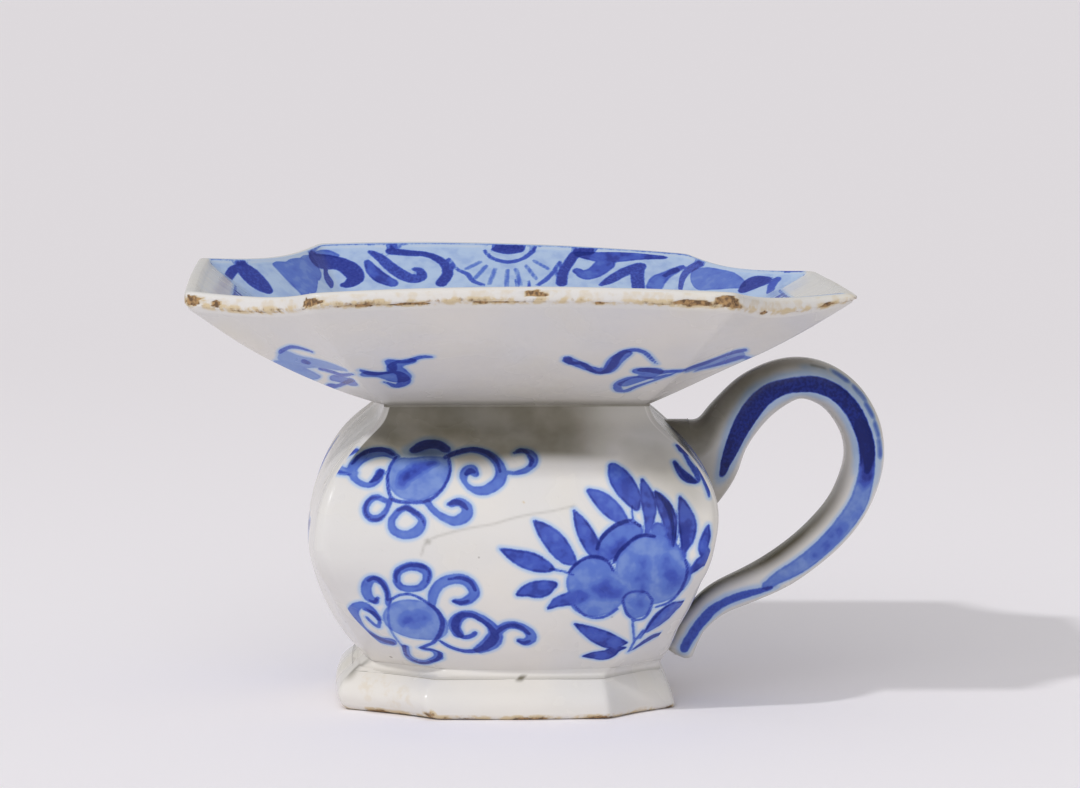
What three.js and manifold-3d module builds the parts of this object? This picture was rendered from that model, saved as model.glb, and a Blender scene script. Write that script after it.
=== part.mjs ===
// A tin-glazed earthenware spittoon: a notched square basin on a narrow neck, a squarish globular body,
// an eight-sided spreading foot and a loop handle. Each piece is formed by itself and luted to the next
// with a thin layer of clay slip. Millimetres, +Z up, the foot stands on z = 0, the handle is on +X.
import * as THREE from 'three';
import { mergeVertices } from 'three/addons/utils/BufferGeometryUtils.js';
import Module from 'manifold-3d';

// Clay and joints
const wall = 4.5;
const slip = 0.6;
const slipGap = 0.3;

// Foot: its bottom and top half-widths, the cut of its four corner facets and where it sits
const footHeight = 10;
const footHalf = 37.2;
const footTopHalf = 33;
const footCut = 16;
const footTopCut = 13.5;
const footBow = 0.5;
const footScoop = 0.8;
const footSwell = 1.8;
const footWall = 6.5;
const footOffset = -1.2;
const footLean = 1.5;

// Body: a square in plan with bowed sides and narrow soft corner facets, and the cove round its inner floor
const bellyHalf = 45.6;
const bellyHeight = 38;
const bellyCut = 3.6;
const bellyBow = 1.6;
const underRound = 2.4;
const lowerSquareness = 2;
const upperSquareness = 2.1;
const coveWidth = 3;

// Neck: the narrow collar that joins the body to the basin
const neckHalf = 29;
const neckHeight = 68;
const neckCut = 1;
const neckBow = 0.3;
const collarFlare = 1.1;
const collarHeight = 3.6;
const throatRound = 2;

// Basin: a flaring dish whose corners are cut in a shallow hollow curve
const rimHalf = 72;
const rimHeight = 97;
const rimCut = 28;
const rimBow = 0.4;
const rimScoop = 4;
const rimFlat = 2.2;
const rimFall = 0.2;
const lipHeight = 3.3;
const lipRound = 0.8;
const flareStart = 0.62;

// How the basin slumped in the kiln, measured at the rim
const sideDrop = 3.5;
const rightDrop = 1.3;
const twistDrop = 1.1;
const cornerDip = 1.7;
const flankSag = 1.1;

// Handle: how far its loop stands out beyond the belly, its room under the basin, and where its root ends
// below the neck and above the belly, its lower seat above the foot, and its tail below the foot's top
const handleReach = 33.4;
const handleRoom = 9;
const rootBelowNeck = 6;
const rootAboveBelly = 0.5;
const seatAboveFoot = 12.3;
const tailDrop = 0.5;
const tailCurl = 4.4;

// The strap's section: a rounded oblong, broad at the root and thin at the tail
const strapThick = 9.3;
const strapWidth = 13;
const strapRoundness = 2.6;
const rootSpread = 4;
const tailThick = 4.4;
const tailWidth = 9;

// How finely the curved surfaces are divided
const sideSteps = 8;
const cornerSteps = 4;
const bodySteps = 9;
const footSteps = 5;
const dishSteps = 8;
const handleSteps = 36;
const handleSides = 16;
const leastStep = 1;

const collarHalf = neckHalf + collarFlare;
const throatHalf = neckHalf - wall;
const floorHeight = footHeight + wall;

const mix = (a, b, t) => a + (b - a) * t;
const shares = (steps) => Array.from({ length: steps + 1 }, (_, i) => i / steps);

// One level of a piece in plan: a square of the given half-width whose sides bow outwards and whose corners
// are cut off by facets, hollowed by scoop. Points run anticlockwise, seen from above.
function planPoints({ half, cut, bow = 0, scoop = 0 }) {
  const points = [];
  const end = half - cut;
  const push = (quarter, out, along, dip) => {
    const turn = (quarter * Math.PI) / 2;
    const x = out * Math.cos(turn) - along * Math.sin(turn);
    const y = out * Math.sin(turn) + along * Math.cos(turn);
    points.push({ x, y, dip });
  };
  for (let quarter = 0; quarter < 4; quarter++) {
    for (let i = 0; i < sideSteps; i++) {
      const s = (2 * i) / sideSteps - 1;
      push(quarter, half - bow * s * s, end * s, 0);
    }
    for (let j = 0; j < cornerSteps; j++) {
      const f = j / cornerSteps;
      const hollow = Math.sin(Math.PI * f);
      const inward = (scoop * hollow) / Math.SQRT2;
      push(quarter, mix(half - bow, end, f) - inward, mix(end, half - bow, f) - inward, hollow);
    }
  }
  return points;
}

// The height lost at a point of the basin: none at the neck, where flare is 0, and all of it at the rim
function slumpAt(level, { x, y, dip }) {
  if (!level.flare) {
    return 0;
  }
  const u = x / level.half;
  const v = y / level.half;
  const atRim = sideDrop * u * u + rightDrop * u + twistDrop * u * v + cornerDip * dip;
  return level.flare ** 2 * atRim - flankSag * u * Math.sin(Math.PI * level.flare);
}

function levelPoints(level) {
  const shift = level.shift ?? 0;
  return planPoints(level).map((p) => [p.x + shift, p.y, level.z - slumpAt(level, p)]);
}

function geometryFrom(vertices, triangles) {
  const geometry = new THREE.BufferGeometry();
  geometry.setAttribute('position', new THREE.Float32BufferAttribute(vertices.flat(), 3));
  geometry.setIndex(triangles.flat());
  return geometry;
}

function stitch(triangles, lower, upper, count) {
  for (let k = 0; k < count; k++) {
    const next = (k + 1) % count;
    triangles.push([lower + k, lower + next, upper + next]);
    triangles.push([lower + k, upper + next, upper + k]);
  }
}

// A ring-shaped piece: its levels go up the outside and down the inside, and the last joins the first
function ringGeometry(levels) {
  const rings = levels.map(levelPoints);
  const count = rings[0].length;
  const triangles = [];
  rings.forEach((ring, i) => stitch(triangles, i * count, ((i + 1) % rings.length) * count, count));
  return geometryFrom(rings.flat(), triangles);
}

// A piece closed on the axis at both ends: it starts at the centre of its underside and ends at the centre
// of its top or of its inner floor
function closedGeometry(levels) {
  const rings = levels.map(levelPoints);
  const count = rings[0].length;
  const vertices = rings.flat();
  const triangles = [];
  for (let i = 0; i + 1 < rings.length; i++) {
    stitch(triangles, i * count, (i + 1) * count, count);
  }
  const bottom = vertices.push([0, 0, levels[0].z]) - 1;
  const top = vertices.push([0, 0, levels.at(-1).z]) - 1;
  const last = (rings.length - 1) * count;
  for (let k = 0; k < count; k++) {
    const next = (k + 1) % count;
    triangles.push([bottom, next, k], [top, last + k, last + next]);
  }
  return geometryFrom(vertices, triangles);
}

// Half-width of a swelling curve at a distance from the belly, through (0, bellyHalf) and (span, endHalf)
function swell(distance, span, endHalf, squareness) {
  const reach = span / (1 - (endHalf / bellyHalf) ** squareness) ** (1 / squareness);
  return bellyHalf * (1 - (distance / reach) ** squareness) ** (1 / squareness);
}

// The body's outline in plan follows its height: nearly sharp corners at the neck, and below the belly
// wider corner facets and rounder sides, which lead over to the eight-sided foot
function bodyPlan(z) {
  if (z >= bellyHeight) {
    const t = (z - bellyHeight) / (neckHeight - bellyHeight);
    return { cut: mix(bellyCut, neckCut, t), bow: mix(bellyBow, neckBow, t) };
  }
  const t = Math.min((bellyHeight - z) / (bellyHeight - footHeight), 1);
  return { cut: mix(bellyCut, footTopCut, t), bow: bellyBow + underRound * Math.sin(Math.PI * t) };
}

function bodyHalf(z) {
  if (z < bellyHeight) {
    return swell(bellyHeight - z, bellyHeight - footHeight, footTopHalf, lowerSquareness);
  }
  const collarStart = neckHeight - collarHeight;
  if (z <= collarStart) {
    return swell(z - bellyHeight, collarStart - bellyHeight, collarHalf, upperSquareness);
  }
  return mix(collarHalf, neckHalf, (z - collarStart) / collarHeight);
}

const bodyLevel = (z, grow = 0) => ({ half: bodyHalf(z) + grow, z, ...bodyPlan(z) });

// Levels between two heights, closer together towards the second one
function bodyLevels(from, to, grow = 0) {
  return shares(bodySteps).map((t) => bodyLevel(mix(from, to, Math.sin((Math.PI / 2) * t)), grow));
}

// The inside of a wall: each level moved inwards, square to the outline between its neighbours
function insideOf(levels) {
  return levels.map((level, i) => {
    const before = levels[Math.max(i - 1, 0)];
    const after = levels[Math.min(i + 1, levels.length - 1)];
    const rise = after.z - before.z;
    const run = after.half - before.half;
    const length = Math.hypot(rise, run);
    const side = Math.sign(rise);
    return {
      ...level,
      half: level.half - (side * wall * rise) / length,
      z: level.z + (side * wall * run) / length,
    };
  });
}

function upperBody() {
  const top = neckHeight - slip;
  const seam = bellyHeight + slip / 2;
  const shoulder = bodyLevels(seam, neckHeight - collarHeight);
  const outside = [...shoulder, bodyLevel(top)];
  const inside = insideOf(shoulder).filter((level) => level.half > throatHalf + leastStep);
  inside[0] = { ...bodyLevel(seam), half: bodyHalf(seam) - wall };
  return ringGeometry([...outside, { ...bodyLevel(top), half: throatHalf }, ...inside.reverse()]);
}

function lowerBody() {
  const seam = bellyHeight - slip / 2;
  const outside = bodyLevels(seam, footHeight).reverse();
  const inside = insideOf(outside).filter((level) => level.z > floorHeight + leastStep);
  inside[inside.length - 1] = { ...bodyLevel(seam), half: bodyHalf(seam) - wall };
  const floor = { ...inside[0], half: inside[0].half - coveWidth, z: floorHeight };
  return closedGeometry([...outside, ...inside.reverse(), floor]);
}

// A flat layer of slip between two pieces that meet at one height, with the outline of their joint
function slipRing(level, bottom) {
  const outer = { ...level, z: bottom };
  const inner = { ...outer, half: level.half - wall };
  const top = { z: bottom + slip };
  return ringGeometry([outer, { ...outer, ...top }, { ...inner, ...top }, inner]);
}

function footLevel(height, inset = 0) {
  const t = height / footHeight;
  const swelling = Math.sin(Math.PI * t);
  return {
    half: mix(footHalf, footTopHalf, t) + footSwell * swelling - inset,
    cut: mix(footCut, footTopCut, t),
    bow: footBow,
    scoop: footScoop,
    z: height,
    shift: footOffset - footLean * swelling,
  };
}

// The foot is a hollow ring that flares to the ground, with a slightly thinner wall at its top
function footRing() {
  const top = footHeight - slip;
  const outside = shares(footSteps).map((t) => footLevel(top * t));
  const inside = shares(footSteps).map((t) => footLevel(top * t, mix(footWall, wall, t)));
  return ringGeometry([...outside, ...inside.reverse()]);
}

// Height of the basin's underside at a share t of the way from the neck to the rim
function underside(t) {
  const rise = rimHeight - lipHeight - neckHeight;
  return neckHeight + rise * (flareStart * t + (1 - flareStart) * t * t);
}

// A level of the basin: its outline opens from the neck's into the rim's with its width
function basinLevel(half, z) {
  const t = Math.max((half - neckHalf) / (rimHalf - neckHalf), 0);
  return {
    half,
    z,
    cut: mix(neckCut, rimCut, t),
    bow: mix(neckBow, rimBow, t),
    scoop: rimScoop * t,
    flare: t,
  };
}

function basin() {
  const halfAt = (t) => mix(neckHalf, rimHalf, t);
  const outside = shares(dishSteps).map((t) => basinLevel(halfAt(t), underside(t)));
  const lip = [
    basinLevel(rimHalf, rimHeight - lipRound),
    basinLevel(rimHalf - lipRound, rimHeight),
    basinLevel(rimHalf - rimFlat, rimHeight - rimFall),
  ];
  const dishShares = shares(dishSteps).slice(0, -1).reverse();
  const dish = dishShares.map((t) => basinLevel(halfAt(t), underside(t) + wall));
  const throat = [0, 1, 2].map((k) => {
    const angle = (k * Math.PI) / 4;
    const drop = throatRound * (1 - Math.cos(angle));
    return basinLevel(throatHalf + throatRound * (1 - Math.sin(angle)), neckHeight + wall - drop);
  });
  return ringGeometry([...outside, ...lip, ...dish, ...throat, basinLevel(throatHalf, neckHeight)]);
}

// Height of the basin's underside over the handle, at a distance from the axis
function undersideAt(x) {
  const flare = Math.min((x - neckHalf) / (rimHalf - neckHalf), 1);
  return underside(flare) - slumpAt({ half: x, flare }, { x, y: 0, dip: 0 });
}

// The strap's middle line: its top, its root on the shoulder, its lower seat and the end of its tail
const topShare = 0.56;
const handleTop = undersideAt(bellyHalf + handleReach * topShare) - handleRoom - strapThick / 2;
const rootTop = neckHeight - rootBelowNeck;
const rootBottom = bellyHeight + rootAboveBelly;
const rootHeight = (rootTop + rootBottom) / 2;
const rootThick = rootTop - rootBottom;
const handleSeat = footHeight + seatAboveFoot;
const tailEnd = footHeight - tailDrop;
const fingerGap = (handleSeat + rootBottom) / 2;

// Stations from the root up to the top: how far out beyond the belly as a share of the reach, how high as a
// share of the way from the root to the top, how far the root has thinned into the strap, and the tilt of the
// section in degrees, which spreads the root over the shoulder
const rising = (out, up, thinned, tilt) => ({
  x: bellyHalf + handleReach * out,
  z: mix(rootHeight, handleTop, up),
  thick: mix(rootThick, strapThick, thinned),
  width: strapWidth + rootSpread * (1 - thinned),
  tilt,
});

// Stations from the top round to the lower seat: how far out, how high as a share of the way from the seat
// to the top, and how far the strap has thinned into the tail
const falling = (out, up, thinned) => ({
  x: bellyHalf + handleReach * out,
  z: mix(handleSeat, handleTop, up),
  thick: mix(strapThick, tailThick, thinned),
  width: mix(strapWidth, tailWidth, thinned),
  tilt: 0,
});

// Below its lower seat the strap runs down the body as a thin tail
function trailing(out, down) {
  const { half, z } = bodyLevel(mix(handleSeat, tailEnd, down));
  return { x: half + out, z, thick: tailThick, width: tailWidth, tilt: 0 };
}

const stations = [
  { ...rising(0, 0, 0, -3), x: bodyHalf(rootTop) - wall / 2 },
  rising(-0.14, 0.03, 0.08, -11),
  rising(-0.02, 0.17, 0.41, -31),
  rising(0.09, 0.48, 0.66, -31),
  rising(0.26, 0.79, 0.83, -13),
  rising(0.43, 0.95, 0.92, 0),
  falling(topShare, 1, -0.14),
  falling(0.75, 0.96, -0.1),
  falling(0.88, 0.88, -0.05),
  falling(0.98, 0.75, 0),
  falling(1, 0.64, 0),
  falling(0.97, 0.54, 0),
  falling(0.87, 0.39, 0),
  falling(0.67, 0.24, 0.06),
  falling(0.39, 0.1, 0.3),
  falling(0.17, 0.03, 0.5),
  falling(0.01, -0.02, 0.75),
  trailing(1.6, 0.42),
  trailing(1, 0.76),
  { ...trailing(0, 1), x: footTopHalf + tailCurl },
];

// The strap is a rounded oblong swept through its stations in the plane y = 0, with flat ends
function handleGeometry() {
  const path = new THREE.CatmullRomCurve3(stations.map((s) => new THREE.Vector3(s.x, 0, s.z)));
  const sizes = new THREE.CatmullRomCurve3(stations.map((s) => new THREE.Vector3(s.thick, s.width, s.tilt)));
  const rounded = (value) => Math.sign(value) * Math.abs(value) ** (2 / strapRoundness);
  const rings = [];
  for (let i = 0; i <= handleSteps; i++) {
    const t = i / handleSteps;
    const middle = path.getPoint(t);
    const size = sizes.getPoint(t);
    const tangent = path.getTangent(t);
    tangent.applyAxisAngle(new THREE.Vector3(0, -1, 0), THREE.MathUtils.degToRad(size.z));
    const ring = [];
    for (let k = 0; k < handleSides; k++) {
      const angle = (2 * Math.PI * k) / handleSides;
      const outward = (rounded(Math.cos(angle)) * size.x) / 2;
      const sideways = (-rounded(Math.sin(angle)) * size.y) / 2;
      ring.push([middle.x - tangent.z * outward, sideways, middle.z + tangent.x * outward]);
    }
    rings.push({ middle, ring });
  }
  const vertices = rings.flatMap(({ ring }) => ring);
  const triangles = [];
  for (let i = 0; i < handleSteps; i++) {
    stitch(triangles, i * handleSides, (i + 1) * handleSides, handleSides);
  }
  const start = vertices.push(rings[0].middle.toArray()) - 1;
  const end = vertices.push(rings.at(-1).middle.toArray()) - 1;
  const last = handleSteps * handleSides;
  for (let k = 0; k < handleSides; k++) {
    const next = (k + 1) % handleSides;
    triangles.push([start, next, k], [end, last + k, last + next]);
  }
  return geometryFrom(vertices, triangles);
}

// The body's outer form as one solid, grown outwards, to fit the handle and its slip against it
function grownBody(grow) {
  const lower = bodyLevels(bellyHeight, footHeight, grow).reverse();
  const upper = bodyLevels(bellyHeight, neckHeight, grow).slice(1);
  return closedGeometry([...lower, ...upper]);
}

const wasm = await Module();
wasm.setup();

function toSolid(geometry) {
  const merged = mergeVertices(geometry, 1e-4);
  return new wasm.Manifold(new wasm.Mesh({
    numProp: 3,
    vertProperties: new Float32Array(merged.attributes.position.array),
    triVerts: new Uint32Array(merged.index.array),
  }));
}

function fromSolid(solid) {
  const { vertProperties, triVerts } = solid.getMesh();
  const geometry = new THREE.BufferGeometry();
  geometry.setAttribute('position', new THREE.BufferAttribute(vertProperties, 3));
  geometry.setIndex(new THREE.BufferAttribute(triVerts, 1));
  return geometry;
}

function slab(bottom, top) {
  const reach = 2 * (bellyHalf + handleReach);
  const box = new THREE.BoxGeometry(reach, reach, top - bottom);
  box.deleteAttribute('normal');
  box.deleteAttribute('uv');
  box.translate(reach / 2, 0, (bottom + top) / 2);
  return toSolid(box);
}

// The strap stops short of the body by a layer of slip, and the slip is what lies between the two
function handlePieces() {
  const strap = toSolid(handleGeometry());
  const skin = toSolid(grownBody(slipGap));
  const bed = toSolid(grownBody(slipGap + slip));
  const seat = toSolid(grownBody(2 * slipGap + slip));
  const layer = strap.intersect(bed).subtract(skin);
  return {
    strap: strap.subtract(seat),
    root: layer.intersect(slab(fingerGap, neckHeight)),
    tail: layer.intersect(slab(0, fingerGap)),
  };
}

const glaze = (color) => new THREE.MeshStandardMaterial({ color, roughness: 0.25, metalness: 0 });
const clay = () => new THREE.MeshStandardMaterial({ color: 0xcdb08a, roughness: 0.9, metalness: 0 });

const { strap, root, tail } = handlePieces();
const pieces = [
  ['foot_ring', footRing(), glaze(0xdedbd2)],
  ['foot_slip_joint', slipRing(footLevel(footHeight - slip), footHeight - slip), clay()],
  ['lower_body', lowerBody(), glaze(0xe3e2de)],
  ['belly_slip_joint', slipRing(bodyLevel(bellyHeight), bellyHeight - slip / 2), clay()],
  ['upper_body', upperBody(), glaze(0xe3e2de)],
  ['neck_slip_joint', slipRing(bodyLevel(neckHeight), neckHeight - slip), clay()],
  ['basin', basin(), glaze(0xd9d8d4)],
  ['handle_strap', fromSolid(strap), glaze(0x4a5fa8)],
  ['handle_root_slip', fromSolid(root), clay()],
  ['handle_tail_slip', fromSolid(tail), clay()],
];

const spittoon = new THREE.Group();
for (const [name, geometry, material] of pieces) {
  const mesh = new THREE.Mesh(geometry, material);
  mesh.name = name;
  spittoon.add(mesh);
}

// The origin is the middle of the bounding box, at the bottom of the foot
const bounds = new THREE.Box3().setFromObject(spittoon);
const centre = bounds.getCenter(new THREE.Vector3());
spittoon.position.set(-centre.x, -centre.y, -bounds.min.z);

export default spittoon;
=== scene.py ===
"""A blue and white tin-glazed spittoon, dressed for the studio.

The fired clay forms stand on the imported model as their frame. Each visible surface is a numpy grid: a
profile carried round a notched square plan, or a section carried along the handle's path. The cobalt
painting is drawn as brush strokes measured on each surface in millimetres.
"""
from __future__ import annotations

import logging
import math
from dataclasses import dataclass
from enum import Enum

import bpy
import numpy as np
from mathutils import Euler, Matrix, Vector


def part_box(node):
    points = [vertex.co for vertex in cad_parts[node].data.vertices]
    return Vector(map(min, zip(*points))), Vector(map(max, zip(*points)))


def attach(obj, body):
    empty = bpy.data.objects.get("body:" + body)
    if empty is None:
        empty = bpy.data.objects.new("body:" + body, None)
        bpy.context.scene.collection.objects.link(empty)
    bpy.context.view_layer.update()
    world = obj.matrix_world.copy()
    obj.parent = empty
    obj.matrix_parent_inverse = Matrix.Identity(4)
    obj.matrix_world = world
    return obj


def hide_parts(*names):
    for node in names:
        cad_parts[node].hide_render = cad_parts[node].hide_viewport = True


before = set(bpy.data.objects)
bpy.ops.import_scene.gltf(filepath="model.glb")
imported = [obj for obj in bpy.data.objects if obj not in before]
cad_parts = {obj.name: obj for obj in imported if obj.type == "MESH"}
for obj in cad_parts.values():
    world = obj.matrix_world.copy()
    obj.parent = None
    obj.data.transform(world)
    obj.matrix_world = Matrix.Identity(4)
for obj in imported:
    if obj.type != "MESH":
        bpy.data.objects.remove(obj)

Array = np.ndarray
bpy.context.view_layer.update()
BODY = "root"
MM = 0.001

Span = tuple[float, float, float, float]

log = logging.getLogger("spittoon")


# Sizes


@dataclass(frozen=True)
class ClaySizes:
    """The pot's measures in millimetres, about the axis of its body, as the solids have them."""

    wall: float = 4.5
    glaze: float = 0.12
    foot_height: float = 10.0
    foot_half: float = 37.2
    foot_top_half: float = 33.0
    foot_cut: float = 16.0
    foot_top_cut: float = 13.5
    foot_bow: float = 0.5
    foot_scoop: float = 0.8
    foot_swell: float = 1.8
    foot_wall: float = 6.5
    foot_offset: float = -1.2
    foot_lean: float = 1.5
    belly_half: float = 45.6
    belly_height: float = 38.0
    belly_cut: float = 3.6
    belly_bow: float = 1.6
    under_round: float = 2.4
    neck_half: float = 29.0
    neck_height: float = 68.0
    neck_cut: float = 1.0
    neck_bow: float = 0.3
    collar_half: float = 30.1
    collar_height: float = 3.6
    rim_half: float = 72.0
    rim_height: float = 97.0
    rim_cut: float = 28.0
    rim_bow: float = 0.4
    rim_scoop: float = 4.0
    lip_height: float = 3.3
    flare_start: float = 0.62
    throat_round: float = 2.0
    side_drop: float = 3.5
    right_drop: float = 1.3
    twist_drop: float = 1.1
    corner_dip: float = 1.7
    flank_sag: float = 1.1

    @property
    def floor_height(self) -> float:
        """The height of the inner floor."""
        return self.foot_height + self.wall


SIZES = ClaySizes()
AXIS_X = float(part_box("basin")[0][0]) / MM + SIZES.rim_half


class Side(Enum):
    """The four sides of the square plan, by the quarter turn from the handle's side."""

    HANDLE = 0
    BACK = 1
    LEFT = 2
    FRONT = 3


# Grids


def mix(a: Array | float, b: Array | float, t: Array | float) -> Array:
    """The point a share t of the way from a to b."""
    return a + (b - a) * t


def smooth_step(low: float, high: float, value: Array) -> Array:
    """The smooth ramp 3t^2 - 2t^3 from 0 at low to 1 at high."""
    t = np.clip((value - low) / (high - low), 0.0, 1.0)
    return t * t * (3.0 - 2.0 * t)


def window(edges: Span, value: Array) -> Array:
    """A smooth rise from 0 to 1 between the first two edges, and back to 0 between the last two."""
    return smooth_step(*edges[:2], value) * (1 - smooth_step(*edges[2:], value))


@dataclass(frozen=True)
class Plan:
    """The columns of a grid round a square with cut corners.

    Args:
        side: columns on each side.
        corner: columns on each corner facet.
    """

    side: int
    corner: int

    def columns(self) -> tuple[Array, Array, Array, Array]:
        """Lays out the columns.

        Returns:
            For each column its quarter, its place s from -1 to 1 along the side, its place f from 0 to 1
            along the facet, and whether it is on a facet.
        """
        s = np.r_[np.linspace(-1, 1, self.side, endpoint=False), np.ones(self.corner)]
        f = np.r_[np.zeros(self.side), np.linspace(0, 1, self.corner, endpoint=False)]
        on_facet = np.r_[np.zeros(self.side, bool), np.ones(self.corner, bool)]
        return np.repeat(np.arange(4), len(s)), np.tile(s, 4), np.tile(f, 4), np.tile(on_facet, 4)

    def outline(self, half: Array, cut: Array, bow: Array, scoop: Array) -> tuple[Array, Array, Array]:
        """Points of the outline at each level.

        On a side the point stands half - bow s^2 out and (half - cut) s along. On a facet it runs straight
        from one side's end to the next's, drawn in by scoop sin(pi f) towards the axis.

        Args:
            half, cut, bow, scoop: one value a level.

        Returns:
            x and y, one row a level, and the hollow sin(pi f) of each column.
        """
        quarter, s, f, on_facet = self.columns()
        half, cut, bow, scoop = (np.asarray(v, float)[:, None] for v in (half, cut, bow, scoop))
        end = half - cut
        hollow = np.where(on_facet, np.sin(np.pi * f), 0.0)
        inward = scoop * hollow / math.sqrt(2.0)
        out = np.where(on_facet, mix(half - bow, end, f) - inward, half - bow * s * s)
        along = np.where(on_facet, mix(end, half - bow, f) - inward, end * s)
        turn = quarter * math.pi / 2
        x = out * np.cos(turn) - along * np.sin(turn)
        y = out * np.sin(turn) + along * np.cos(turn)
        return x, y, hollow

    def middle(self, side: Side) -> int:
        """The column in the middle of a side."""
        return side.value * (self.side + self.corner) + self.side // 2

    def near(self, side: Side, more: int) -> Array:
        """Which columns are on a side, or at most so many beyond its ends.

        Args:
            side: the side.
            more: columns beyond each end, or short of it where negative.

        Returns:
            True for each such column.
        """
        whole = 4 * (self.side + self.corner)
        away = (np.arange(whole) - self.middle(side) + whole // 2) % whole - whole // 2
        return np.abs(away) <= self.side // 2 + more


def soften(grid: Array, passes: int, axis: int) -> Array:
    """Rounds the arrises of a grid that closes along an axis, by averaging neighbours."""
    for _ in range(passes):
        grid = 0.25 * np.roll(grid, 1, axis=axis) + 0.5 * grid + 0.25 * np.roll(grid, -1, axis=axis)
    return grid


def ease(grid: Array, share: Array, passes: int) -> None:
    """Rounds a kink across the rows: each point moves a share of half the way to its neighbours' mean."""
    for _ in range(passes):
        grid[1:-1] += 0.5 * share[1:-1, :, None] * (0.5 * (grid[:-2] + grid[2:]) - grid[1:-1])


def normals_of(grid: Array, closed: bool) -> Array:
    """Unit normals of a grid of points, from the cross product of its differences along and across.

    Args:
        grid: rows by columns by 3.
        closed: whether the last row joins the first.

    Returns:
        One normal a point.
    """
    across = np.roll(grid, -1, axis=1) - np.roll(grid, 1, axis=1)
    up = np.roll(grid, -1, axis=0) - np.roll(grid, 1, axis=0) if closed else np.gradient(grid, axis=0)
    normal = np.cross(across, up)
    return normal / np.maximum(np.linalg.norm(normal, axis=2, keepdims=True), 1e-9)


# The clay's unevenness: its sine waves, how much shorter and fainter each is than the one before, and the
# swing that their sum is brought down from
WAVES, SHORTER, FAINTER, SWING = 8, 0.45, 0.6, 2.4


def waver(points: Array, size: float, length: float, seed: int) -> Array:
    """The slow unevenness of hand-pressed clay: a sum of sine waves in seeded directions.

    The kth wave's length is divided by 1 + 0.45 k and its height by 1 + 0.6 k.

    Args:
        points: where it is wanted, in millimetres.
        size: about the greatest swing.
        length: the longest wave.
        seed: picks the directions and phases.

    Returns:
        One value a point.
    """
    random = np.random.default_rng(seed)
    total = np.zeros(points.shape[:-1])
    for k in range(WAVES):
        way = random.normal(size=3)
        way *= 2 * np.pi / (length / (1 + SHORTER * k)) / np.linalg.norm(way)
        total += np.sin(points @ way + random.uniform(0, 2 * np.pi)) / (1 + FAINTER * k)
    return size * total / SWING


def spaced(profile: Array, count: int) -> Array:
    """A profile's points resampled in even steps of its length times the weight.

    Args:
        profile: rows of half-width, height and a weight, larger where points stand closer together.
        count: points wanted.

    Returns:
        Rows of half-width and height.
    """
    weight = profile[:, 2]
    steps = np.linalg.norm(np.diff(profile[:, :2], axis=0), axis=1) * 0.5 * (weight[1:] + weight[:-1])
    run = np.r_[0.0, np.cumsum(steps)]
    wanted = np.linspace(0.0, run[-1], count)
    return np.stack([np.interp(wanted, run, profile[:, k]) for k in (0, 1)], axis=1)


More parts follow.
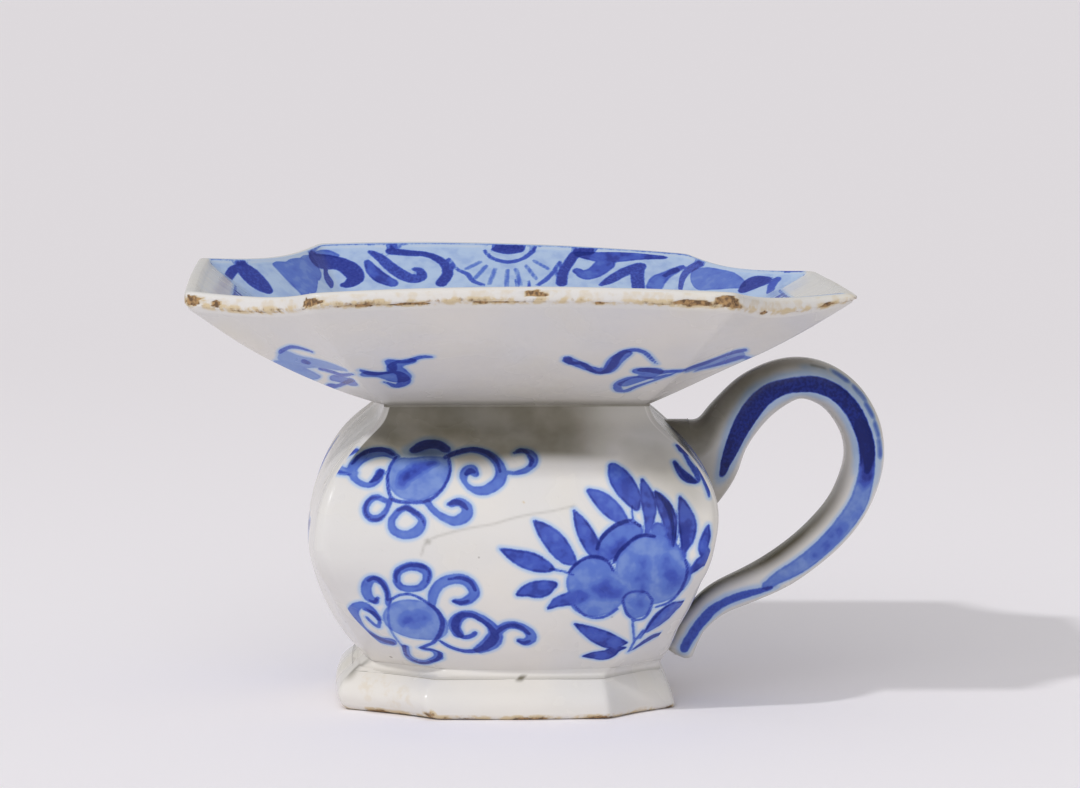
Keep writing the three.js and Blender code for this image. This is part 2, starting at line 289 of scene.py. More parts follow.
class Surface:
    """A grid of points that becomes one closed mesh.

    Args:
        points: rows by columns by 3, in millimetres about the body's axis. The columns close on themselves.
        closed: whether the last row joins the first, or else a pole closes each end.
        across: how many strips the UV layout cuts the columns into, side by side.
        stacked: how many rows of strips stand above each other.
        weight: each row's share of the UV height, by default an even one.
    """

    # The UV layout: how much of a strip's height and width is filled, the margins under and beside it, and
    # the small triangle in the top corner that the fans' faces are set along from
    FILLED, MARGIN = (0.985, 0.99), (0.002, 0.004)
    FAN = ((0.0005, 0.9950), (0.0010, 0.9950), (0.0007, 0.9956))

    def __init__(self, points: Array, closed: bool, across: int = 1, stacked: int = 1,
                 weight: Array | None = None) -> None:
        """Keeps the grid; its marks are set later."""
        self.points = points
        self.closed = closed
        self.strips = (across, stacked)
        self.weight = weight
        self.marks: dict[str, Array] = {}

    def faces(self) -> Array:
        """Quads between neighbouring rows and columns, facing outwards.

        Returns:
            Four vertex numbers a face.
        """
        rows, columns = self.points.shape[:2]
        last = rows if self.closed else rows - 1
        r, c = np.arange(last)[:, None], np.arange(columns)[None, :]
        r1, c1 = (r + 1) % rows, (c + 1) % columns
        corners = (r * columns + c, r * columns + c1, r1 * columns + c1, r1 * columns + c)
        return np.stack([np.broadcast_to(k, (last, columns)) for k in corners], axis=-1).reshape(-1, 4)

    def _end_fans(self) -> Array:
        """Triangles from each end row to its pole, where the rows don't close.

        Returns:
            Three vertex numbers a face.
        """
        rows, columns = self.points.shape[:2]
        c = np.arange(columns)
        n = (c + 1) % columns
        low = np.stack([n, c, np.full(columns, rows * columns)], axis=1)
        base = (rows - 1) * columns
        return np.concatenate([low, np.stack([base + c, base + n, np.full(columns, rows * columns + 1)], 1)])

    def build(self, name: str) -> bpy.types.Object:
        """Makes the object, with its marks as attributes and its own UV layout.

        Args:
            name: the object's name.

        Returns:
            The object, at the origin.
        """
        vertices, faces = self.points.reshape(-1, 3), self.faces().tolist()
        if not self.closed:
            poles = np.stack([self.points[0].mean(axis=0), self.points[-1].mean(axis=0)])
            vertices = np.concatenate([vertices, poles])
            faces += self._end_fans().tolist()
        mesh = bpy.data.meshes.new(name)
        mesh.from_pydata(((vertices + [AXIS_X, 0.0, 0.0]) * MM).tolist(), [], faces)
        mesh.polygons.foreach_set("use_smooth", np.ones(len(mesh.polygons), bool))
        for mark, values in self.marks.items():
            self._mark(mesh, mark, values)
        self._lay_uv(mesh)
        mesh.update()
        made = bpy.data.objects.new(name, mesh)
        bpy.context.scene.collection.objects.link(made)
        return made

    def _mark(self, mesh: bpy.types.Mesh, name: str, values: Array) -> None:
        """Stores three values a vertex under a name, with the mean of the end row at each pole.

        Args:
            mesh: where they are stored.
            name: the attribute's name.
            values: rows by columns by 3.
        """
        flat = values.reshape(-1, 3)
        if not self.closed:
            flat = np.concatenate([flat, values[0].mean(axis=0)[None], values[-1].mean(axis=0)[None]])
        layer = mesh.attributes.new(name, "FLOAT_VECTOR", "POINT")
        layer.data.foreach_set("vector", flat.astype(np.float32).ravel())

    def _lay_uv(self, mesh: bpy.types.Mesh) -> None:
        """Lays the grid out in strips in the unit square, a cell a face; the fans get a corner.

        Args:
            mesh: the mesh to lay out.
        """
        rows, columns = self.points.shape[:2]
        across, stacked = self.strips
        last = rows if self.closed else rows - 1
        share = np.ones(last) if self.weight is None else self.weight[:last]
        edge_v = np.r_[0.0, np.cumsum(share)] / share.sum() * self.FILLED[0] / stacked
        each = columns // (across * stacked)
        c = np.arange(columns)
        strip, place = c // each, c % each
        low_u, high_u = ((strip % across + self.MARGIN[1] + self.FILLED[1] * (place + end) / each) / across
                         for end in (0, 1))
        shift = (strip // across) / stacked + self.MARGIN[0]
        low_v, high_v = edge_v[:-1, None] + shift, edge_v[1:, None] + shift
        u0, u1 = np.broadcast_to(low_u, low_v.shape), np.broadcast_to(high_u, low_v.shape)
        cells = np.stack([u0, low_v, u1, low_v, u1, high_v, u0, high_v], axis=-1).reshape(-1, 2)
        if not self.closed:
            step = np.arange(2 * columns) / (2 * columns) * self.FILLED[1]
            step = np.stack([step, np.zeros(2 * columns)], axis=1)
            cells = np.concatenate([cells, (np.array(self.FAN)[None] + step[:, None]).reshape(-1, 2)])
        layer = mesh.uv_layers.new(name="OFBake")
        layer.data.foreach_set("uv", cells.astype(np.float32).ravel())


# Painting


class Layer(Enum):
    """How a stroke lies in the glaze."""

    LINE = "line"
    WASH = "wash"
    SOFT = "soft"
    WEAR = "wear"
    # Dirt on the glaze, and painted shade in recesses and under the basin
    GRIME = "grime"


Dab = tuple[float, float, float]


@dataclass(frozen=True)
class Stroke:
    """One pull of the brush.

    Args:
        layer: how it lies.
        load: how much pigment it leaves, from 0 to 1.
        path: along, up and width at each control point, in millimetres on the surface.
    """

    layer: Layer
    load: float
    path: tuple[Dab, ...]

    # Points between one control point and the next, and the least width
    PARTS, THINNEST = 6, 0.15

    def sampled(self) -> Array:
        """The path as closely spaced points, on a Catmull-Rom curve through the control points.

        Returns:
            Rows of along, up and width.
        """
        points = np.array(self.path, float)
        if len(points) < 3:
            return points if len(points) == 2 else np.repeat(points, 2, axis=0)
        ends = np.concatenate([2 * points[:1] - points[1:2], points, 2 * points[-1:] - points[-2:-1]])
        t = np.linspace(0, 1, self.PARTS + 1)[:-1, None, None]
        a, b, c, d = ends[:-3], ends[1:-2], ends[2:-1], ends[3:]
        curve = 0.5 * (2 * b + (c - a) * t + (2 * a - 5 * b + 4 * c - d) * t**2
                       + (3 * b - a - 3 * c + d) * t**3)
        curve = np.concatenate([curve.transpose(1, 0, 2).reshape(-1, 3), points[-1:]])
        curve[:, 2] = np.maximum(curve[:, 2], self.THINNEST)
        return curve

    def distance(self, along: Array, up: Array) -> Array:
        """Signed distance from each place to the stroke's edge, negative inside.

        Each segment is a capsule whose radius runs from one end's to the other's, and the least wins.

        Args:
            along, up: the places, one value each.

        Returns:
            The distances in millimetres.
        """
        curve = self.sampled()
        a, span = curve[:-1], np.diff(curve, axis=0)
        x, y = along[:, None] - a[:, 0], up[:, None] - a[:, 1]
        length = np.maximum((span[:, :2] ** 2).sum(axis=1), 1e-9)
        t = np.clip((x * span[:, 0] + y * span[:, 1]) / length, 0, 1)
        reach = np.hypot(x - t * span[:, 0], y - t * span[:, 1])
        return (reach - 0.5 * (a[:, 2] + t * span[:, 2])).min(axis=1)


class Painting:
    """The pigment on a surface, gathered stroke by stroke at each vertex.

    Args:
        shape: rows and columns of the grid.
    """

    # How far outside a stroke its distance is still kept
    REACH = 2.0
    # How far a soft stroke's edge spreads: a share of its width, and some more
    SPREAD, BLEED = 0.4, 0.2
    # Wear below this gives way to dirt and painted shade
    LEAST_WEAR = 0.15

    def __init__(self, shape: tuple[int, int]) -> None:
        """Starts with bare glaze."""
        self.edge = {layer: np.full(shape, self.REACH) for layer in (Layer.LINE, Layer.WASH)}
        self.load = {layer: np.zeros(shape) for layer in (Layer.LINE, Layer.WASH)}
        self.soft = {layer: np.zeros(shape) for layer in (Layer.SOFT, Layer.WEAR, Layer.GRIME)}

    def lay(self, strokes: tuple[Stroke, ...], along: Array, up: Array, rows: slice,
            within: Array | bool = True, mirror: bool = False, shift: float = 0.0) -> None:
        """Paints strokes on some rows of the grid.

        Args:
            strokes: what to paint.
            along, up: the grid's own measures, as large as those rows.
            rows: the rows they lie on.
            within: the columns they are kept to.
            mirror: whether they are turned left for right.
            shift: how far along they are moved.
        """
        across = (along - shift) * (-1 if mirror else 1)
        for stroke in strokes:
            path = np.array(stroke.path)
            reach = 0.5 * path[:, 2].max() + self.REACH
            near = ((across > path[:, 0].min() - reach) & (across < path[:, 0].max() + reach) & within
                    & (up > path[:, 1].min() - reach) & (up < path[:, 1].max() + reach))
            if near.any():
                self._add(stroke, near, stroke.distance(across[near], up[near]), rows)

    def _add(self, stroke: Stroke, near: Array, distance: Array, rows: slice) -> None:
        """Lays one stroke's distances over what is there already.

        Args:
            stroke: the stroke.
            near: the places of those rows that it can reach.
            distance: its signed distance at each of them.
            rows: the rows.
        """
        if stroke.layer in self.soft:
            field = self.soft[stroke.layer][rows]
            width = self.SPREAD * max(dab[2] for dab in stroke.path) + self.BLEED
            field[near] = np.maximum(field[near], stroke.load * (1 - smooth_step(-width, width, distance)))
            return
        edge, load = self.edge[stroke.layer][rows], self.load[stroke.layer][rows]
        closer = distance < edge[near]
        both = (distance < 0) & (edge[near] < 0)
        load[near] = np.where(both, np.maximum(load[near], stroke.load),
                              np.where(closer, stroke.load, load[near]))
        edge[near] = np.minimum(edge[near], distance)

    def ring(self, load: float, level: float, width: float, up: Array, rows: slice) -> None:
        """Paints a line at one level all the way round.

        Args:
            load: how much pigment it leaves.
            level, width: where it runs, and its width.
            up: the measure that is level along it.
            rows: the rows it lies on.
        """
        distance = np.abs(up - level) - width / 2
        edge, laid = self.edge[Layer.LINE][rows], self.load[Layer.LINE][rows]
        laid[:] = np.where(distance < edge, load, laid)
        edge[:] = np.minimum(edge, distance)

    def film(self, layer: Layer, amount: Array | float, rows: slice = slice(None)) -> None:
        """Lays a thin film where there is less of that layer already."""
        self.soft[layer][rows] = np.maximum(self.soft[layer][rows], amount)

    def blended(self, layer: Layer) -> Array:
        """The load on a layer, its mean over the neighbouring painted vertices, so overlaps have no steps.

        Args:
            layer: lines or washes.

        Returns:
            One load a vertex.
        """
        load, there = self.load[layer], (self.load[layer] > 0).astype(float)
        for axis in (0, 1):
            load, there = soften(load, 2, axis), soften(there, 2, axis)
        return load / np.maximum(there, 1e-6)

    def marks(self) -> dict[str, Array]:
        """The two vectors that a material reads.

        Returns:
            As "brush" the line's edge and load and the wash's edge, and as "tint" the wash's load, what has
            bled, and the wear, which stands for dirt and painted shade below zero.
        """
        wear = self.soft[Layer.WEAR]
        aged = np.where(wear > self.LEAST_WEAR, wear, -self.soft[Layer.GRIME])
        brush = (self.edge[Layer.LINE], self.blended(Layer.LINE), self.edge[Layer.WASH])
        tint = (self.blended(Layer.WASH), self.soft[Layer.SOFT], aged)
        return {"brush": np.stack(brush, axis=-1), "tint": np.stack(tint, axis=-1)}


def ring_measure(points: Array, side: Side, plan: Plan) -> Array:
    """Distance along each row's ring from the middle of a side, positive to the right seen from outside.

    Args:
        points: the grid.
        side: the side.
        plan: the grid's columns.

    Returns:
        One distance a point, in millimetres.
    """
    steps = np.linalg.norm(np.roll(points, -1, axis=1) - points, axis=2)
    run = np.cumsum(steps, axis=1) - steps
    total = steps.sum(axis=1, keepdims=True)
    centre = plan.middle(side)
    away = run - run[:, centre:centre + 1]
    return (away + total / 2) % total - total / 2


def rise_measure(points: Array, start: int) -> Array:
    """Distance up each column from a row, negative below it.

    Args:
        points: the grid.
        start: the row.

    Returns:
        One distance a point, in millimetres.
    """
    steps = np.linalg.norm(np.diff(points, axis=0), axis=2)
    run = np.concatenate([np.zeros((1, points.shape[1])), np.cumsum(steps, axis=0)])
    return run - run[start]


# The painted motifs


Motif = tuple[Stroke, ...]


def line(load: float, *path: Dab) -> Stroke:
    """A dark, crisp stroke of the fine brush."""
    return Stroke(Layer.LINE, load, path)


def wash(load: float, *path: Dab) -> Stroke:
    """A loaded, paler stroke that pools at its edges."""
    return Stroke(Layer.WASH, load, path)


def soft(load: float, *path: Dab) -> Stroke:
    """Pigment that has bled into the wet glaze."""
    return Stroke(Layer.SOFT, load, path)


def wear(load: float, *path: Dab) -> Stroke:
    """A hairline or a pit that shows the clay."""
    return Stroke(Layer.WEAR, load, path)


def grime(load: float, *path: Dab) -> Stroke:
    """Dirt lying on the glaze, and painted shade where a place lies in shadow."""
    return Stroke(Layer.GRIME, load, path)


# Each stroke's points: along, up and width, in millimetres
# On the left side: along it from its middle, and up from the belly
SIDE_MARK: Motif = (
    line(0.8, (-9, 1, 1.6), (-13, 3.6, 3.4), (-18, 2.4, 2.6), (-23, 4, 1.2)),
    line(0.6, (-12, -2, 1), (-16, 0.4, 1.8)),
)
# Along the front from its middle and up from the floor
FOOT_MARKS: Motif = (
    wear(0.21, (-26, 4, 9), (-35, 5.5, 9)),
    wear(0.8, (-19.8, 1, 2.4), (-18.6, 1.3, 1.8)),
    grime(0.7, (-41, 8.6, 3)),
    grime(1, (0.4, 8.8, 1), (1, 8.8, 1)),
    wear(0.26, (26, 0.6, 2), (40, 0.6, 2.4)),
)
# On the body: along each side from its middle, and up from the belly
UPPER_ROSETTE: Motif = (
    wash(0.34, (-24.7, 19.1, 5.7), (-23, 16.5, 10.6), (-19.5, 17.5, 9.3), (-17.8, 19, 6.1)),
    line(0.71, (-26.4, 22.2, 0.6), (-27.7, 19.7, 0.6), (-28.3, 16.6, 0.6), (-28.1, 13.7, 0.7),
        (-27.3, 11.6, 0.8), (-25.1, 10.9, 0.7), (-20.8, 10.9, 0.7), (-18.3, 12, 0.7), (-16.1, 14.5, 0.6),
        (-14.8, 18.4, 0.6), (-15.1, 21.5, 0.7)),
    soft(0.62, (-25.1, 15.1, 2.5), (-24.2, 17, 3.3), (-21.6, 19, 3.3), (-18.2, 20.3, 1.9)),
    line(0.77, (-22.5, 24.1, 2), (-20.3, 25.5, 2.8), (-17.7, 25.6, 2.6), (-15.6, 24, 2)),
    soft(0.45, (-22.9, 23.5, 3), (-19, 24.5, 5.6), (-15.6, 23.2, 2.5)),
    line(0.66, (-15.6, 21.8, 1.2), (-13.2, 23.1, 1.2), (-10.1, 23.8, 1.2), (-7.1, 22.9, 1), (-4.8, 20.5, 0.8),
        (-4, 17.8, 0.5)),
    wash(0.48, (-14.7, 22.3, 1.1), (-10.4, 23.6, 1.4), (-7.1, 22.7, 1.7), (-4.8, 20.5, 2), (-3.8, 17.8, 2.4),
        (-4.5, 15.4, 2.6), (-7.1, 13.6, 2.3), (-9.6, 13.6, 1.5), (-11.4, 15, 1), (-12, 16.9, 1.6),
        (-11.3, 18.1, 2.1), (-10.2, 18.4, 2.4), (-9.4, 17.4, 1.6)),
    line(0.64, (-11.3, 17.4, 0.9), (-10.5, 18.1, 1.4), (-9.6, 17.8, 0.7)),
    wash(0.48, (-3.3, 17.8, 0.8), (-0.8, 17.5, 0.9), (1.6, 18.2, 1.3), (3.2, 19.9, 1.6), (3.2, 21.7, 1.6),
        (1.7, 23, 1.4), (0, 23, 1.1)),
    line(0.67, (-0.9, 22.5, 0.6), (0.7, 23.3, 1), (2.1, 22.5, 0.7)),
    line(0.68, (1.9, 22, 0.5), (2.8, 20.7, 1.2), (2.5, 19.2, 0.5)),
    wash(0.46, (-20, 11.1, 1.3), (-18.3, 8.9, 1.3), (-16.1, 7.4, 1.5), (-13.8, 6.7, 2), (-11.6, 7.8, 2.5),
        (-11.2, 9.5, 2.2), (-12.9, 10.9, 1.8), (-14.6, 10.4, 1.3)),
    line(0.67, (-15.3, 10.4, 0.7), (-13.8, 10.9, 1.1), (-12.3, 10.4, 1.1), (-11.2, 9.3, 0.7)),
    wash(0.45, (-26, 8.9, 1.3), (-27.5, 6.7, 1.5), (-26.9, 4.6, 1.7), (-24.5, 3.7, 1.7), (-22, 4.6, 2.1),
        (-20.9, 6.7, 1.7), (-22.4, 8.5, 1.3), (-24.3, 9.6, 1.3), (-26, 8.9, 1.3)),
    line(0.64, (-26.2, 8.9, 0.5), (-24.7, 9.6, 0.8), (-22.8, 8.9, 0.8), (-21.1, 7.4, 0.6), (-20.4, 5.9, 0.4)),
    wash(0.48, (-28.6, 11.1, 1), (-30.7, 12, 1.3), (-32.4, 10.9, 1.4), (-33.1, 8.9, 1.4), (-32, 7.4, 1.5),
        (-30.1, 7.4, 1.4), (-28.6, 9.1, 1.1), (-27.7, 11.4, 1)),
    line(0.64, (-29.9, 12, 0.4), (-32, 11.6, 0.7), (-33.1, 9.8, 0.7), (-32.7, 7.8, 0.6), (-30.7, 6.9, 0.6),
        (-29, 8, 0.4)),
    wash(0.46, (-26.4, 22.2, 1.7), (-28.7, 23.8, 2.7), (-31.5, 23.6, 3), (-34.1, 21.9, 2.6),
        (-35.7, 19.7, 2.3), (-35.7, 17.2, 1.6), (-34.2, 15.4, 1.3), (-32, 14.9, 1.3), (-30.5, 16.4, 1.9),
        (-29.8, 18.1, 1.9)),
    line(0.74, (-26.8, 22.8, 0.8), (-28.9, 24.4, 1.3), (-31.5, 24.6, 1.5), (-34.1, 23.2, 1),
        (-35.9, 20.5, 0.5)),
    line(0.68, (-32, 15.6, 0.5), (-30.7, 16.6, 1.4), (-29.8, 17.9, 1.4), (-29.8, 18.7, 0.7)),
    wash(0.29, (-39.4, 19, 2.6), (-36.9, 18.3, 1.9), (-35.2, 18, 1.2)),
    line(0.68, (-45.2, 18.6, 1.5), (-42, 20.9, 1.7), (-36.9, 23.4, 1.1), (-35, 24.8, 1.1)),
    line(0.56, (-45.2, 18.6, 1.4), (-38.3, 18.3, 0.6), (-36.3, 17.5, 0.6)),
)
LOWER_ROSETTE: Motif = (
    wash(0.32, (-25.3, -15.3, 5.8), (-22.9, -18.3, 13.5), (-20.8, -18.7, 9.5)),
    line(0.68, (-27.9, -12, 0.6), (-25.7, -10.4, 0.6), (-23.1, -10.2, 0.6), (-20.1, -11.9, 0.6),
        (-17.7, -14.2, 1), (-16.8, -17.4, 1.1), (-17.6, -21.3, 1), (-19.7, -26.2, 0.9), (-22.5, -29.6, 1)),
    line(0.36, (-27.9, -12.3, 0.4), (-28.5, -16.7, 0.4), (-28.3, -22.9, 0.5), (-26.8, -29, 0.5)),
    soft(0.5, (-24.7, -18.6, 4.5), (-22.4, -17.5, 6), (-21.3, -16.7, 3.7)),
    wash(0.48, (-26.5, -6.8, 1.5), (-26.1, -4.5, 1.8), (-24.1, -3.3, 1.8), (-21.8, -3.3, 2), (-20, -4.4, 2.1),
        (-20, -6.3, 1.8), (-21.3, -8.1, 1.6), (-23.5, -8.7, 1.6), (-25.5, -8.3, 1.6), (-26.5, -6.8, 1.5)),
    line(0.64, (-26.5, -7, 0.5), (-26.5, -5, 0.8), (-25.2, -3.6, 0.7), (-23, -2.9, 0.8), (-20.5, -3.3, 0.8),
        (-19.4, -4.7, 0.6), (-19.8, -6.8, 0.5)),
    wash(0.48, (-28.3, -13.2, 1.3), (-28.5, -10.1, 1.3), (-29.5, -7.4, 1.5), (-31.3, -6.4, 1.8),
        (-32.6, -7.3, 2.2), (-33.1, -9.6, 2.3), (-32.5, -11.9, 2.1), (-31.2, -12.7, 1.8)),
    line(0.66, (-28.5, -12.1, 0.6), (-28.7, -9.3, 0.7), (-29.8, -7.2, 1), (-31.3, -6.2, 0.9),
        (-32.6, -7, 0.7)),
    line(0.62, (-32.5, -12.6, 0.5), (-31.4, -13, 0.8), (-30.7, -11.8, 1)),
    wash(0.48, (-29.2, -27.8, 3), (-31.9, -27.2, 2.5), (-34.4, -24.9, 2.2), (-36.2, -22.4, 2.7),
        (-36.8, -19.1, 3.2), (-36.6, -16.6, 3), (-34.7, -14.4, 2), (-33.2, -14.5, 1.7), (-31.7, -16.2, 1.6),
        (-30.6, -18.5, 1.3)),
    line(0.66, (-29, -28.3, 1.4), (-31.6, -27.1, 1.3), (-34.4, -24.9, 1.1), (-36.4, -22, 1.1),
        (-37.1, -19.1, 0.7)),
    line(0.64, (-33.9, -15.6, 0.6), (-32.2, -16.3, 1), (-30.9, -17.9, 0.9), (-30.5, -20, 0.6)),
    line(0.56, (-33.4, -18.3, 0.6), (-32.5, -20, 0.8), (-31.1, -21.8, 0.9), (-30.7, -20.1, 0.6)),
    line(0.64, (-45.1, -20.6, 3.1), (-40.3, -21.9, 3.1), (-37.8, -23.5, 1.8), (-36.6, -24.4, 1.1)),
    wash(0.48, (-45.1, -20.6, 4.9), (-46.3, -23.6, 3.4), (-41.7, -25.9, 3.3), (-38.5, -26.3, 1.7)),
    wash(0.46, (-18.8, -12.9, 1.4), (-18.6, -10, 2.2), (-17.3, -7.5, 2.3), (-15.1, -6.2, 2.3),
        (-12.5, -6, 2.3), (-10.6, -7.1, 2.3), (-9.7, -9.2, 2.3), (-11, -10.9, 2.1), (-12.7, -11.5, 1.6),
        (-13.8, -11.3, 1.1)),
    line(0.64, (-15.3, -6, 0.5), (-12.7, -5.7, 0.8), (-10.6, -6.6, 0.9), (-9.5, -8.5, 0.7)),
    line(0.67, (-14.2, -11.3, 0.7), (-12.7, -11.7, 0.9), (-11, -11.2, 0.7)),
    line(0.67, (-17.8, -24.6, 0.9), (-15.9, -26.5, 1.3), (-12.9, -27.2, 1.4), (-9.8, -25.7, 1.4),
        (-7.3, -23, 2.1), (-5.9, -20.4, 2), (-6.4, -18.1, 1.2), (-8.3, -16, 1.1), (-10.6, -14.7, 1.1),
        (-12.8, -15.2, 1.5), (-14, -17.3, 1.8), (-14, -19.9, 1.6), (-12.7, -21.7, 1.4), (-10.9, -21, 1.2),
        (-10, -19.9, 1)),
    wash(0.5, (-9.8, -25.7, 2.3), (-7, -22.7, 3.6), (-5.7, -20, 3.2), (-6.3, -17.5, 2.3), (-8.5, -15.4, 1.9),
        (-11, -14.5, 1.9), (-13.3, -15.8, 2.6), (-14.3, -18.3, 2.7), (-13.7, -20.9, 2.5)),
    wash(0.51, (-5.9, -20.4, 2), (-4, -17.9, 2), (-2, -17, 1.9), (0.1, -17.5, 1.9), (1.7, -18.9, 2.1),
        (2, -20.5, 2.3), (0.8, -21.7, 2), (-0.5, -21.4, 1.4)),
    line(0.67, (-5.4, -19.4, 1), (-3.5, -17.6, 1), (-1.5, -17, 1), (0.3, -17.8, 1), (1.7, -19.4, 0.8)),
    line(0.66, (-0.9, -21.4, 0.6), (0.3, -22, 0.9), (1.5, -21.4, 0.7)),
    wash(0.4, (-25.9, -29.8, 1.8), (-26.2, -33.9, 1.9), (-24.5, -36.2, 1.9), (-21.3, -36.8, 2.1),
        (-18.8, -33.5, 2.1), (-19.5, -30.3, 1.6), (-21.7, -29.9, 1.6)),
    line(0.67, (-26.1, -29.4, 1.2), (-26.6, -33.4, 0.9), (-25.1, -36.2, 0.9), (-21.9, -37.3, 1.1),
        (-19.1, -34.8, 1.1), (-18.3, -30.7, 1.1), (-19.9, -30, 0.7), (-21.7, -29.9, 0.5)),
)
FLOWERS: Motif = (
    wash(0.66, (-4.2, 0.7, 0.4), (-0.9, -0.9, 2.8), (2.7, -2.2, 3.9), (5.7, -3.3, 2.5), (7.3, -3.8, 0.6)),
    line(0.7, (6.6, -3.8, 0.4), (9.2, -4.3, 0.4), (11.6, -5.2, 0.4)),
    wash(0.66, (3.2, 6.6, 0.6), (5.5, 4.3, 3.3), (7.9, 1.7, 4.4), (10, -0.9, 3.6), (12, -2.7, 0.8)),
    wash(0.68, (11.8, 8.8, 0.6), (13.3, 5.7, 2.8), (14.8, 2.7, 3.6), (16.1, 0.1, 2.8), (16.7, -1.5, 0.8)),
    wash(0.64, (15.1, 13.2, 1.1), (17.5, 11.4, 3.4), (19.8, 9.1, 3.9), (21.9, 7.1, 2.5), (23.2, 5.8, 0.8)),
    wash(0.64, (20.4, 19, 2.1), (21.5, 16.7, 4.4), (22.9, 14.1, 4.9), (24.4, 11.5, 3.7), (25.2, 9.3, 1.4)),
    line(0.65, (24.3, 9.8, 0.3), (24.3, 8, 0.3), (24.7, 6.3, 0.3)),
    wash(0.7, (26.6, 15.8, 0.7), (27.4, 12.7, 2.6), (28, 9.5, 3.1), (28, 6.7, 2.2), (27.5, 4.1, 1.1)),
    wash(0.8, (29.4, 12.9, 0.7), (30.8, 10.4, 2.8), (32.1, 7.5, 3.3), (32.7, 4.5, 2.5), (33.1, 1.2, 1.1)),
    line(0.9, (29.6, 12.7, 0.4), (31.3, 10.6, 0.9), (32.5, 7.9, 0.9), (33.1, 4.5, 0.6), (33.1, 1, 0.4)),
    wash(0.74, (34.7, 11.7, 0.6), (35.6, 8.6, 2.8), (36.2, 5.8, 3.9), (36.2, 2.7, 3.1), (35.5, 0.3, 1.4),
        (35.6, -1.8, 0.6)),
    wash(0.7, (40.7, 5.3, 0.6), (40.3, 3.1, 2), (39.7, 0.5, 2.3), (40.7, -2, 3), (39.2, -3.1, 2.6),
        (37, -5.4, 1.2)),
    wash(0.66, (-0.2, -9.4, 1.1), (1.9, -8.5, 2.9), (4.7, -8.3, 4), (7.3, -7.4, 1.7)),
    wash(0.66, (6.3, -12.9, 0.6), (8.2, -11.5, 2.3), (10.6, -10.9, 3.2), (12.7, -10.5, 3.8)),
    wash(0.7, (11.9, -17.4, 0.6), (14.6, -19.8, 3), (17.5, -22.6, 4.6), (20, -25.1, 4.1), (22.5, -25.9, 1.1)),
    wash(0.72, (13.1, -28, 0.8), (15.5, -28.4, 2.7), (18, -29.2, 3.9), (19.9, -27.8, 2.7),
        (22.2, -27.8, 0.8)),
    wash(0.6, (27.5, -23.2, 0.8), (29.5, -20.7, 3), (31.9, -18, 4.2), (34.3, -15.8, 2.8), (37.3, -14.6, 0.9)),
    line(0.75, (26, -25.2, 0.5), (28.5, -20.5, 0.5), (30.9, -16.8, 0.5), (33.6, -14.4, 0.5),
        (37.9, -14.4, 0.6)),
    line(0.8, (24, -29.3, 0.5), (26.7, -27.2, 1.1), (29.6, -25.5, 1.5), (33.5, -24.4, 0.6)),
    line(0.7, (24.6, -18.2, 0.5), (24.6, -22.3, 0.5), (24.5, -26.3, 0.5)),
    line(0.6, (23, -29.9, 0.5), (24.5, -26.3, 0.5), (26.9, -22.3, 0.5)),
    wash(0.4, (15.7, -6.9, 11.2), (16.8, -9.4, 12.9)),
    wash(0.5, (18.7, 0.3, 4.8), (20.4, 2.2, 5.6), (23, 3.7, 4.7), (24.9, 4.3, 3.4)),
    wash(0.37, (28.2, -3.5, 15), (29.1, -6, 16.1)),
    wash(0.37, (25.7, -12.6, 6.5), (25.7, -14.9, 5.7)),
    wash(0.48, (29.7, 4.7, 2.8), (30.8, 4.3, 2.8)),
    line(0.76, (10.5, -4.7, 0.6), (12.2, -2.7, 0.6), (14.4, -1.4, 0.7), (16.7, -1.2, 0.7), (18.9, -2.2, 0.6),
        (20.2, -4.5, 0.5)),
    line(0.6, (11.9, -12.4, 0.5), (13.8, -14.9, 0.6), (16.2, -16.2, 0.6), (18.8, -16, 0.7),
        (21.3, -14.3, 0.6)),
    soft(0.5, (17, -9.4, 4.2), (19, -9, 6.1), (20.5, -10.2, 3.8)),
    soft(0.36, (11.4, -9.7, 2.8), (14, -10.3, 3.3)),
    line(0.84, (16.7, 0.5, 0.7), (17.4, 2.4, 0.7), (19.1, 4.4, 0.9), (21.5, 5.9, 0.9), (24.1, 6.5, 0.7),
        (26, 5.4, 0.6)),
    soft(0.5, (19.3, -0.8, 3.5), (20.8, 0.7, 3.9), (22.1, 2.2, 2.2)),
    line(0.84, (20.4, -2.4, 0.7), (21.3, -0.4, 0.8), (23, 1.3, 0.8), (24.9, 2.8, 0.8), (27.1, 3.4, 0.7),
        (29.2, 3, 0.6)),
    soft(0.52, (27.1, -2.1, 2.7), (26.3, -5.9, 4.2), (26.6, -9.6, 3.5)),
    line(0.66, (35.8, -2.3, 0.6), (36.3, -5.1, 0.6), (35.8, -8.4, 0.7), (34.5, -12, 0.7), (32.4, -14.2, 0.6),
        (30, -15, 0.6)),
    soft(0.5, (32.1, -2.2, 2.7), (33.1, -6.2, 5.8), (31.9, -10.1, 3.1)),
    line(0.6, (22.6, -11.4, 0.6), (23.6, -10.2, 0.6), (25.6, -9.8, 0.6), (27.6, -10.5, 0.6),
        (29, -12.7, 0.6)),
    line(0.6, (22.4, -12, 0.6), (23.3, -15.5, 0.6), (24.8, -17.9, 0.6), (26.8, -18.3, 0.6),
        (28.4, -16.3, 0.6), (29, -13.3, 0.6)),
    soft(0.4, (25.5, -12.9, 3.5), (26.4, -14.1, 2.6)),
)
